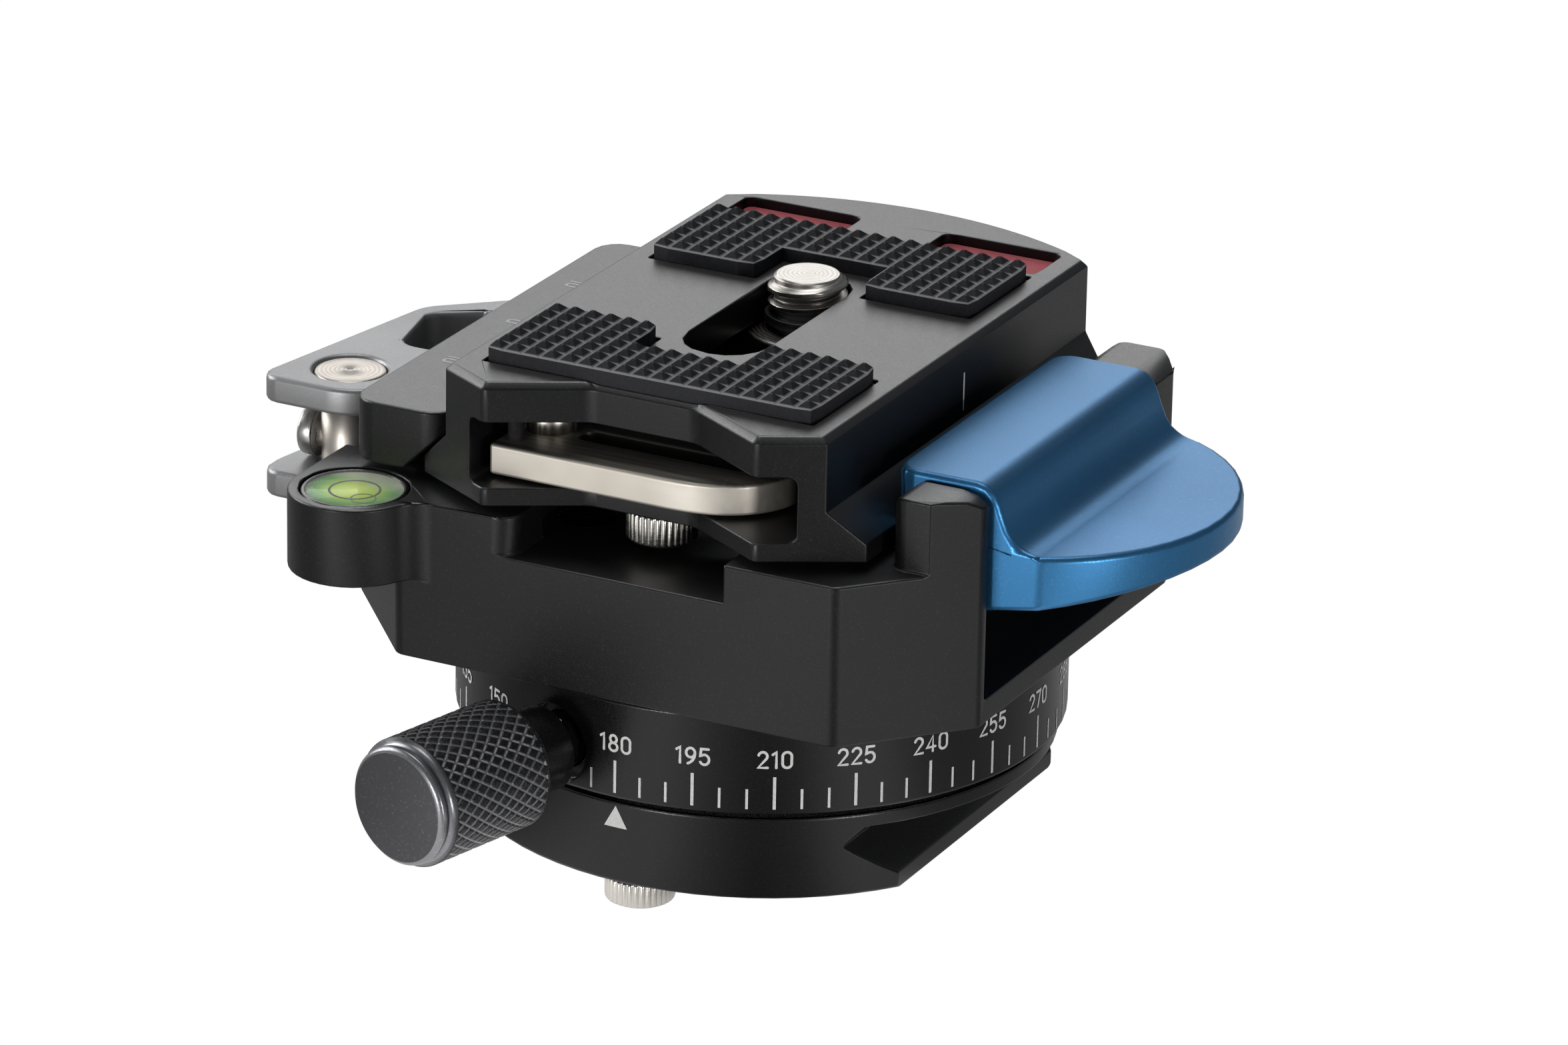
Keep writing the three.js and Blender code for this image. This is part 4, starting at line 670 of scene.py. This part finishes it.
# Camera screw
def camera_screw():
    """Quarter inch screw: helical thread with a flat end and a large head under the plate."""
    pitch, root, crest = 1.27, 2.6, 3.175
    low, high, runout, runout_length = 37.2, 40.6, 37.9, 0.4
    valley, flank = 0.3, 2.4
    end, chamfer, slope = 2.36, 2.46, 1.15
    columns, rows = 96, 150

    def radius(i, z):
        turn = (z / pitch - i / columns) % 1.0
        rise = 1 - abs(turn * 2 - 1)
        rise = min(1.0, max(0.0, (rise - valley) * flank))
        r = root + (crest - root) * rise
        if z < runout + runout_length:
            r = min(r, root + max(0.0, (z - runout) / runout_length) * (crest - root))
        return min(r, chamfer + (high - z) * slope)

    heights = [low + (high - low) * j / rows for j in range(rows + 1)]
    rings = [(z, [radius(i, z) for i in range(columns)]) for z in heights]
    rings.append((high, [end] * columns))
    thread = stack("screw_thread", columns, rings)
    add(shift(thread, 0, SCREW_Y), "screw", screw_steel, ["camera_screw"])
    wide, bottom, top = 5.0, 33.2, 36.2
    profile = [(0, bottom + 0.4), (wide - 0.5, bottom), (wide - 0.15, bottom + 0.1), (wide, bottom + 0.35),
               (wide, top - 0.3), (wide - 0.15, top - 0.1), (wide - 0.4, top), (root, top),
               (root, low + 0.1), (0, low + 0.1)]
    head = soften(lathe("screw_head", profile), 0.08, angle=40, flat=False)
    add(shift(head, 0, SCREW_Y), "screw", screw_steel)


camera_screw()


# Pins and bolts
def cam_pin():
    """Upright pin in the fork: a wide head with a centre mark on a plain shaft."""
    top, seat, foot = 32.25, 31.2, 22.4
    wide, shaft, mark = 2.85, 2.3, 0.28
    profile = [(0, top - 0.05), (mark, top - 0.05), (mark + 0.08, top), (wide - 0.23, top),
               (wide - 0.07, top - 0.05), (wide, top - 0.17), (wide, seat), (shaft, seat - 0.04),
               (0, seat - 0.04)]
    head = lathe("cam_pin_head", profile)
    profile = [(0, foot), (shaft - 0.1, foot), (shaft, foot + 0.1), (shaft, seat), (0, seat)]
    rod = lathe("cam_pin_shaft", profile)
    add(shift(head, *CAM_PIN), "deck", pin_steel, ["cam_pin"])
    add(shift(rod, *CAM_PIN), "deck", pin_steel)


def pull_bolt():
    """Bolt along X from the fork into the body, with a chamfered round head."""
    height, face, seat, end = 26.7, -35.2, -33.85, -12.6
    wide, shank, mark = 2.1, 1.4, 0.9
    profile = [(0, face), (mark, face), (mark + 0.1, face - 0.05), (wide - 0.25, face - 0.05),
               (wide - 0.05, face + 0.05), (wide, face + 0.2), (wide, seat - 0.2), (wide - 0.1, seat - 0.05),
               (shank, seat), (shank, end - 0.2), (shank - 0.2, end), (0, end)]
    bolt = lathe("pull_bolt", profile, 64)
    along("X", bolt, 0, CAM_PIN[1], height)
    add(bolt, "deck", plain_steel, ["tension_bolt"])


def lever_pin():
    """Hinge pin of the blue lever, along Y."""
    radius, chamfer, near, far = 1.5, 0.15, -16.7, 18.0
    slim, x, height = radius - chamfer, 23.6, 28.4
    profile = [(0, near), (slim, near), (radius, near + chamfer), (radius, far - chamfer),
               (slim, far), (0, far)]
    hinge = lathe("lever_pin_rod", profile, 64)
    along("Y", hinge, x, 0, height)
    add(hinge, "deck", plain_steel, ["lever_pin"])


def loop_pin():
    """Thin upright pin on which the strap loop swings."""
    x, y, radius, low, high = -10.95, -20.7, 0.6, 29.7, 37.4
    rod = lathe("loop_pin_rod", [(0, low), (radius, low), (radius, high), (0, high)], 48)
    add(shift(rod, x, y), "plate", oxide, ["loop_pin"])


cam_pin()
pull_bolt()
lever_pin()
loop_pin()


# Strap loop
def strap_loop():
    """Flat steel loop with a rounded far corner, a strap hole and a round head at its pivot end."""
    left, near, rear, straight, reach = -12.3, -22.45, -14.2, 2.0, 9.3
    low, high, corner, fullness, steps = 31.2, 33.7, 1.7, 0.8, 32
    outer = rounded([(left, rear, corner), (left, near, 0), (straight, near, 0), (straight + reach, rear, 0)])
    outer = outer[:-2]
    for k in range(steps + 1):
        a = math.pi / 2 * (1 - k / steps)
        x = straight + reach * math.cos(a) ** fullness
        y = rear + (near - rear) * math.sin(a) ** fullness
        outer.append((x, y))
    hole = rounded(box_corners(left=-7.3, near=-18.1, right=7.6, far=-15.9, radius=0.9))
    verts, faces, starts = [], [], []
    for outline in (outer, hole):
        for z in (low, high):
            starts.append(len(verts))
            verts += [(x, y, z) for x, y in outline]
    for outline, (a, b) in ((outer, starts[:2]), (hole, starts[:1:-1])):
        n = len(outline)
        faces += [[a + i, a + (i + 1) % n, b + (i + 1) % n, b + i] for i in range(n)]
    obj = make("strap_loop_bar", verts, faces)
    bm = bmesh.new()
    bm.from_mesh(obj.data)
    for z in (low, high):
        level = [e for e in bm.edges if all(abs(v.co.z - z * MM) < 1e-7 for v in e.verts)]
        bmesh.ops.triangle_fill(bm, use_beauty=True, edges=level)
    bmesh.ops.recalc_face_normals(bm, faces=bm.faces)
    bm.to_mesh(obj.data)
    bm.free()
    for poly in obj.data.polygons:
        poly.use_smooth = True
    add(soften(obj, 0.3, segments=3, angle=40, flat=False), "loop", loop_steel, ["strap_loop"])
    head_x, head_y, wide, crown, sunk = -9.9, -17.0, 2.0, 35.15, 0.05
    profile = [(0, crown), (wide - 0.3, crown), (wide - 0.1, crown - 0.07), (wide, crown - 0.25),
               (wide, high - sunk), (0, high - sunk)]
    add(shift(lathe("loop_head", profile, 64), head_x, head_y), "loop", pin_steel)


strap_loop()


# Bubble level, in millimetres
LEVEL_R = 4
WINDOW_TOP = 28.42


def glow(look, tone, roughness, strength):
    """Gives the liquid its colour and a little painted light, a glow of its own."""
    look.to(tone, "Base Color")
    look.to(tone, "Emission Color")
    # Painted light: the emission stands in for light that reaches the liquid under the lens
    look.set(Roughness=roughness, Emission_Strength=strength)
    return look.material


def liquid_finish():
    """Yellow green liquid, with painted shade darker towards the rim."""
    look = Look("level_liquid")
    share = look.spread(look.length(look.around(BOSS)), 0, 1, 0, LEVEL_R * MM)
    # Painted shade: darker towards the rim of the cup
    tone = look.ramp(share, [(0.0, (0.62, 0.74, 0.05)), (0.45, (0.50, 0.66, 0.03)),
                             (0.75, (0.22, 0.42, 0.03)), (0.97, (0.08, 0.2, 0.02))])
    swirl = look.noise(300)
    tone = look.mix(look.spread(swirl, 0, 0.45), tone, (0.75, 0.85, 0.25, 1))
    return glow(look, tone, 0.08, 0.25)


def window_finish():
    """What shows under the lens: bright liquid with painted shade towards the rim, and a painted reflection,
    pale towards the far side.
    """
    reflection_start, reflection_end = 1.0, 2.6
    look = Look("level_window_liquid")
    flat = look.around(BOSS)
    share = look.spread(look.length(flat), 0, 1, 0, LEVEL_R * MM)
    # Painted shade: the liquid darkens towards the rim of the cup
    tone = look.ramp(share, [(0.0, (0.55, 0.68, 0.02)), (0.45, (0.36, 0.55, 0.008)),
                             (0.75, (0.05, 0.30, 0.008)), (0.97, (0.012, 0.10, 0.01))])
    # Painted reflection: pale towards the far side, with random streaks, mixed over the liquid
    far = look.node("ShaderNodeVectorMath", operation="DOT_PRODUCT")
    far.inputs[1].default_value = (0.1, 1.0, 0)
    look.link(flat, far.inputs[0])
    pale = look.spread(far.outputs["Value"], 0, 0.85, reflection_start * MM, reflection_end * MM)
    swirl = look.spread(look.noise(500), -0.15, 0.25)
    wall = look.math("ADD", pale, swirl, use_clamp=True)
    tone = look.mix(wall, tone, (0.46, 0.50, 0.36, 1))
    return glow(look, tone, 0.12, 0.3)


def glass_finish():
    """Nearly clear glass with a faint green tint."""
    look = Look("level_glass")
    look.set(Roughness=0.02, IOR=1.46, Alpha=0.12)
    tint = look.ramp(look.noise(200, detail=1.0), [(0.3, (0.96, 1.0, 0.9)), (0.7, (1.0, 1.0, 0.97))])
    look.to(tint, "Base Color")
    return look.material


def hoop(name, radius, width, height, segments=96):
    """Thin printed ring on the window, from its inner radius."""
    low, high = WINDOW_TOP, WINDOW_TOP + height
    outer = radius + width
    return lathe(name, [(radius, low), (outer, low), (outer, high), (radius, high)], segments)


def bubble_level():
    """Cup, liquid and bubble, with the window that shows under the lens and the rings printed on it."""
    foot, floor_z, rim, wall, bore = 23.5, 24.2, 28.62, 4.2, 3.8
    liquid_top, air_r, air_depth = 27.7, 1.15, 0.4
    window_r, window_depth = 3.95, 0.47
    lens_r, lens_z, crown, lens_steps = 4.05, 28.55, 0.3, 10
    liquid = liquid_finish()
    cup = [(0, foot), (wall, foot), (wall, rim - 0.12), (window_r, rim), (bore, rim - 0.12),
           (bore, floor_z), (0, floor_z)]
    fill = [(0, floor_z + 0.1), (bore - 0.1, floor_z + 0.1), (bore - 0.1, liquid_top - 0.1),
            (bore - 0.2, liquid_top), (0, liquid_top)]
    air_top = liquid_top - 0.05
    air = [(0, air_top), (air_r, air_top), (air_r, air_top - air_depth), (0, air_top - air_depth)]
    window = [(0, WINDOW_TOP), (window_r - 0.05, WINDOW_TOP), (window_r, WINDOW_TOP - 0.06),
              (window_r, WINDOW_TOP - window_depth), (0, WINDOW_TOP - window_depth)]
    dome = [math.pi / 2 / lens_steps * k for k in range(lens_steps + 1)]
    lens = [(lens_r * math.sin(a), lens_z + crown * math.cos(a)) for a in dome]
    lens += [(lens_r, lens_z - 0.05), (0, lens_z - 0.05)]
    middle, air_place, bubble_place = (0, 0), (0.55, -0.5), (1.5, -1.3)
    pieces = (
        (lathe("level_cup", cup), middle, smooth_black, "black_anodised", ["bubble_cup"]),
        (lathe("level_liquid_fill", fill), middle, liquid, "level_liquid", ["bubble_liquid"]),
        (lathe("level_air", air, 48), air_place, liquid, "clear_glass", ["bubble_air"]),
        (lathe("level_window", window), middle, window_finish(), "level_liquid", ()),
        (hoop("level_ring", radius=1.88, width=0.18, height=0.03), middle,
         ring_print, "black_anodised", ()),
        (hoop("level_bubble_rim", radius=0.93, width=0.09, height=0.04, segments=64), bubble_place,
         bubble_print, "clear_glass", ()),
        (lathe("level_lens", lens), middle, glass_finish(), "clear_glass", ["bubble_lens"]),
    )
    for obj, (x, y), material, slot, replaced in pieces:
        add(shift(obj, BOSS[0] + x, BOSS[1] + y), "deck", material, replaced)


bubble_level()


# Printed marks
def wrap(obj, radius, angle, height):
    """Bends a flat drawing in X and Y round the pan axis."""
    for vertex in obj.data.vertices:
        a = angle + vertex.co.x / (radius * MM)
        z = vertex.co.y + height * MM
        out = radius * MM + vertex.co.z
        vertex.co = Vector((out * math.cos(a), out * math.sin(a), z))
    obj.data.update()
    return obj


def bow(cx, cy, rx, ry, start, end, steps=18):
    """Points on an arc of an ellipse, angles in degrees."""
    angles = [math.radians(start + (end - start) * k / steps) for k in range(steps + 1)]
    return [(cx + rx * math.cos(a), cy + ry * math.sin(a)) for a in angles]


def bend(p, q, r, steps=12):
    """Points on a curve from p to r drawn towards q."""
    shares = [k / steps for k in range(steps + 1)]
    return [tuple((1 - t) ** 2 * p[i] + 2 * t * (1 - t) * q[i] + t * t * r[i] for i in (0, 1))
            for t in shares]


# Strokes of each figure in a box one high, and its width
FIGURES = {
    "0": ([bow(0, 0.74, 0.27, 0.26, 0, 180) + bow(0, 0.26, 0.27, 0.26, 180, 360) + [(0.27, 0.74)]], 0.54),
    "1": ([[(-0.14, 0.84), (0.08, 1), (0.08, 0)]], 0.3),
    "2": ([bow(0, 0.73, 0.26, 0.27, 165, -35) + [(-0.27, 0), (0.28, 0)]], 0.54),
    "3": ([bow(0, 0.76, 0.23, 0.24, 150, -80), bow(0, 0.26, 0.27, 0.26, 85, -155)], 0.54),
    "4": ([[(0.12, 0), (0.12, 1), (-0.3, 0.27), (0.3, 0.27)]], 0.6),
    "5": ([[(0.24, 1), (-0.2, 1), (-0.24, 0.56)] + bow(0, 0.32, 0.28, 0.32, 125, -150)], 0.54),
    "6": ([bow(0, 0.3, 0.27, 0.3, 0, 360), bend((0.16, 1), (-0.26, 0.8), (-0.27, 0.3))], 0.54),
    "7": ([[(-0.27, 1), (0.27, 1), (-0.08, 0)]], 0.54),
    "8": ([bow(0, 0.76, 0.22, 0.24, 0, 360), bow(0, 0.26, 0.27, 0.26, 0, 360)], 0.54),
    "9": ([bow(0, 0.7, 0.27, 0.3, 0, 360), bend((0.27, 0.7), (0.26, 0.2), (-0.16, 0))], 0.54),
}


def stroke(points, half, level, verts, faces):
    """A ribbon of even width with mitred joints and round ends along the points."""
    longest_mitre, cap_steps = 1.6, 8
    legs = [((bx - ax), (by - ay)) for (ax, ay), (bx, by) in zip(points, points[1:])]
    sides = [(-y / math.hypot(x, y), x / math.hypot(x, y)) for x, y in legs]
    ring = math.dist(points[0], points[-1]) < 1e-6
    start = len(verts)
    for k, (x, y) in enumerate(points):
        before = sides[k - 1] if k > 0 or ring else sides[0]
        after = sides[k] if k < len(sides) else (sides[0] if ring else sides[-1])
        sx, sy = before[0] + after[0], before[1] + after[1]
        reach = min(2 / (sx * sx + sy * sy), longest_mitre) * half
        verts += [(x + sx * reach, y + sy * reach, level), (x - sx * reach, y - sy * reach, level)]
    for k in range(len(legs)):
        n = start + 2 * k
        faces.append([n, n + 1, n + 3, n + 2])
    if ring:
        return
    for (x, y), (sx, sy), sign in ((points[0], sides[0], 1), (points[-1], sides[-1], -1)):
        n = len(verts)
        for k in range(cap_steps + 1):
            a = math.pi * k / cap_steps
            across, ahead = half * math.cos(a), half * math.sin(a) * sign
            verts.append((x + sx * across - sy * ahead, y + sy * across + sx * ahead, level))
        faces.append(list(range(n, n + cap_steps + 1)))


def text_mesh(name, text, height, weight):
    """Figures drawn with a round stroke, centred on X with their feet on the line."""
    gap, layer_rise = 0.3, 0.003
    total = sum(FIGURES[c][1] for c in text) + gap * (len(text) - 1)
    x = -total / 2
    tall = height - weight
    verts, faces = [], []
    for c in text:
        strokes, width = FIGURES[c]
        for layer, points in enumerate(strokes):
            placed = [((x + width / 2 + px) * tall, py * tall + weight / 2) for px, py in points]
            stroke(placed, weight / 2, layer * layer_rise, verts, faces)
        x += width + gap
    return make(name, verts, faces, False)


def sheet(name, corners):
    """One flat face."""
    return make(name, corners, [list(range(len(corners)))], False)


def join(name, pieces):
    """One object made of several."""
    bm = bmesh.new()
    for piece in pieces:
        bm.from_mesh(piece.data)
        bpy.data.objects.remove(piece)
    mesh = bpy.data.meshes.new(name)
    bm.to_mesh(mesh)
    bm.free()
    obj = bpy.data.objects.new(name, mesh)
    bpy.context.scene.collection.objects.link(obj)
    return obj


def dial_marks():
    """Degree scale round the housing: a tick every 5 degrees, longer and numbered every 15."""
    tick_foot, number_foot = 7.9, 11.26
    number_height, number_weight = 1.5, 0.21
    radius = DIAL_R + INK
    marks = []
    for degree in range(0, 360, 5):
        angle = math.radians(-90 + DIAL_TURN + degree - 180)
        numbered = degree % 15 == 0
        half, length = (0.12, 2.69) if numbered else (0.10, 1.66)
        tick = sheet("tick", [(-half, 0, 0), (half, 0, 0), (half, length, 0), (-half, length, 0)])
        marks.append(wrap(tick, radius, angle, tick_foot))
        if numbered:
            number = text_mesh("number", str(degree), number_height, number_weight)
            marks.append(wrap(number, radius, angle, number_foot))
    add(join("dial_marks", marks), "deck", white_print)


def base_index():
    """White triangle on the base, in strips so that it follows the round face."""
    half, tall, steps, turn, foot = 1, 1.8, 12, -0.68, 4.7
    verts = []
    for k in range(steps + 1):
        x = 2 * k / steps - half
        verts += [(x, 0, 0), (x, tall * (half - abs(x)), 0)]
    faces = [[2 * k, 2 * k + 2, 2 * k + 3, 2 * k + 1] for k in range(steps)]
    triangle = make("base_index", verts, faces, False)
    wrap(triangle, BASE_R + INK, math.radians(-90 + DIAL_TURN + turn), foot)
    add(triangle, "base", white_print)


def jaw_marks():
    """The 10 0 10 scale on the left jaw, read from the jaw's outer side."""
    height, weight, x = 1.5, 0.24, -23.3
    quarter_turn = Matrix(((0, 1, 0, 0), (-1, 0, 0, 0), (0, 0, 1, 0), (0, 0, 0, 1)))
    numbers = []
    for text, y in (("10", -9.7), ("0", 0.2), ("10", 10.3)):
        number = text_mesh("jaw_number", text, height, weight)
        move(number, quarter_turn)
        numbers.append(shift(number, x, y, JAW_TOP + INK))
    add(join("jaw_marks", numbers), "jaw", faint_print)


def plate_index():
    """Short white line on the plate's right side."""
    near, far, low, high = 1.2, 1.4, 34.0, 37.1
    x = PLATE_SIDE + INK
    line = sheet("plate_index", [(x, near, low), (x, far, low), (x, far, high), (x, near, high)])
    add(line, "plate", white_print)


dial_marks()
base_index()
jaw_marks()
plate_index()


# Stage
def shown_white(tree, seen, shader_out, output):
    """What the camera sees directly is white; everything else sees the shader."""
    path = tree.nodes.new("ShaderNodeLightPath")
    blend = tree.nodes.new("ShaderNodeMixShader")
    tree.links.new(path.outputs["Is Camera Ray"], blend.inputs[0])
    tree.links.new(shader_out, blend.inputs[1])
    tree.links.new(seen.outputs[0], blend.inputs[2])
    tree.links.new(blend.outputs[0], output.inputs["Surface"])
    return path


# How bright metal sees the floor at each bearing in degrees, with darker spans between bright panels
SEEN = ((-180, 0.3), (-143, 0.2), (-130, 0.3), (-118, 0.7), (-108, 1.0), (-90, 1.0), (-76, 0.45),
        (-64, 0.15), (-52, 0.3), (-40, 0.95), (-26, 0.95), (-14, 0.4), (0, 0.3), (35, 0.35),
        (90, 0.6), (130, 0.6), (160, 0.3), (180, 0.3))


def floor_finish():
    """Pale paper that takes shadows, is white to the camera and shows panels to glossy rays."""
    look = Look("floor_paper")
    grain = look.noise(300)
    look.to(look.ramp(grain, [(0.3, (0.70, 0.70, 0.70)), (0.7, (0.76, 0.76, 0.76))]), "Base Color")
    look.set(Roughness=0.9)
    white = look.node("ShaderNodeEmission")
    white.inputs["Color"].default_value = (1, 1, 1, 1)
    white.inputs["Strength"].default_value = 1.0
    bearing = look.math("ARCTAN2", look.axis("Y"), look.axis("X"))
    turn = look.spread(bearing, 0, 1, -math.pi, math.pi)
    panels = look.ramp(turn, [((degrees + 180) / 360, (share, share, share)) for degrees, share in SEEN])
    sheen = look.node("ShaderNodeEmission")
    look.link(panels, sheen.inputs["Color"])
    mirror = look.node("ShaderNodeMixShader")
    path = shown_white(look.tree, white, mirror.outputs[0], look.tree.nodes["Material Output"])
    look.link(path.outputs["Is Glossy Ray"], mirror.inputs[0])
    look.link(look.shader.outputs[0], mirror.inputs[1])
    look.link(sheen.outputs[0], mirror.inputs[2])
    return look.material


def studio_floor():
    """Large floor just under the stops of the base, in millimetres."""
    reach, height = 900, -2.36
    corners = [(-reach, -reach, height), (reach, -reach, height), (reach, reach, height),
               (-reach, reach, height)]
    floor = sheet("floor", corners)
    floor.data.materials.append(floor_finish())


def studio_world():
    """Dim bluish light from all round, white to the camera."""
    world = bpy.data.worlds.new("studio")
    bpy.context.scene.world = world
    world.use_nodes = True
    tree = world.node_tree
    tree.nodes.clear()
    lights = []
    for color, strength in (((0.9, 0.95, 1.0, 1), 0.11), ((1, 1, 1, 1), 1.0)):
        light = tree.nodes.new("ShaderNodeBackground")
        light.inputs["Color"].default_value = color
        light.inputs["Strength"].default_value = strength
        lights.append(light)
    lit, paper = lights
    shown_white(tree, paper, lit.outputs[0], tree.nodes.new("ShaderNodeOutputWorld"))


# Lamps, in metres and watts: place, width, height and power
MIDDLE = (0, 0, 0.02)
SOFTBOXES = {
    "back_box": ((-0.48, 0.6, 0.4), 1.0, 0.4, 2.1),
    "left_box": ((-0.62, -0.1, 0.26), 0.35, 0.4, 2.4),
    "top_box": ((-0.1, 0.1, 0.7), 0.35, 0.35, 1.0),
    "right_box": ((0.61, -0.35, 0.05), 0.1, 0.1, 1.3),
    "front_box": ((-0.1, -0.7, 0.04), 0.1, 0.1, 1.6),
}


def softbox(name, place, width, height, power):
    """Rectangular lamp that faces the middle of the object."""
    lamp = bpy.data.lights.new(name, "AREA")
    lamp.shape = "RECTANGLE"
    lamp.size = width
    lamp.size_y = height
    lamp.energy = power
    obj = bpy.data.objects.new(name, lamp)
    bpy.context.scene.collection.objects.link(obj)
    obj.location = place
    obj.rotation_euler = (Vector(MIDDLE) - Vector(place)).to_track_quat("-Z", "Y").to_euler()


studio_floor()
studio_world()
for name, settings in SOFTBOXES.items():
    softbox(name, *settings)

# Camera, as fitted to the photograph, in millimetres and degrees
CAMERA_PLACE = (268.6638, -529.0497, 255.5875)
CAMERA_AZIMUTH = 26.77626
CAMERA_ELEVATION = 21.49252
CAMERA_ROLL = 1.07837
SENSOR_WIDTH = 36
LENS = 186.63


def studio_camera():
    """Camera that looks back at the object from its azimuth and elevation, a little rolled."""
    camera = bpy.data.cameras.new("camera")
    camera.sensor_width = SENSOR_WIDTH
    camera.lens = LENS
    camera.clip_start = 0.01
    camera.clip_end = 20
    obj = bpy.data.objects.new("camera", camera)
    bpy.context.scene.collection.objects.link(obj)
    turn = Matrix.Rotation(math.radians(CAMERA_AZIMUTH), 4, "Z")
    tilt = Matrix.Rotation(math.radians(90 - CAMERA_ELEVATION), 4, "X")
    roll = Matrix.Rotation(math.radians(CAMERA_ROLL), 4, "Z")
    obj.matrix_world = Matrix.Translation(Vector(CAMERA_PLACE) * MM) @ turn @ tilt @ roll
    bpy.context.scene.camera = obj


studio_camera()
bpy.context.scene.view_settings.view_transform = "Standard"
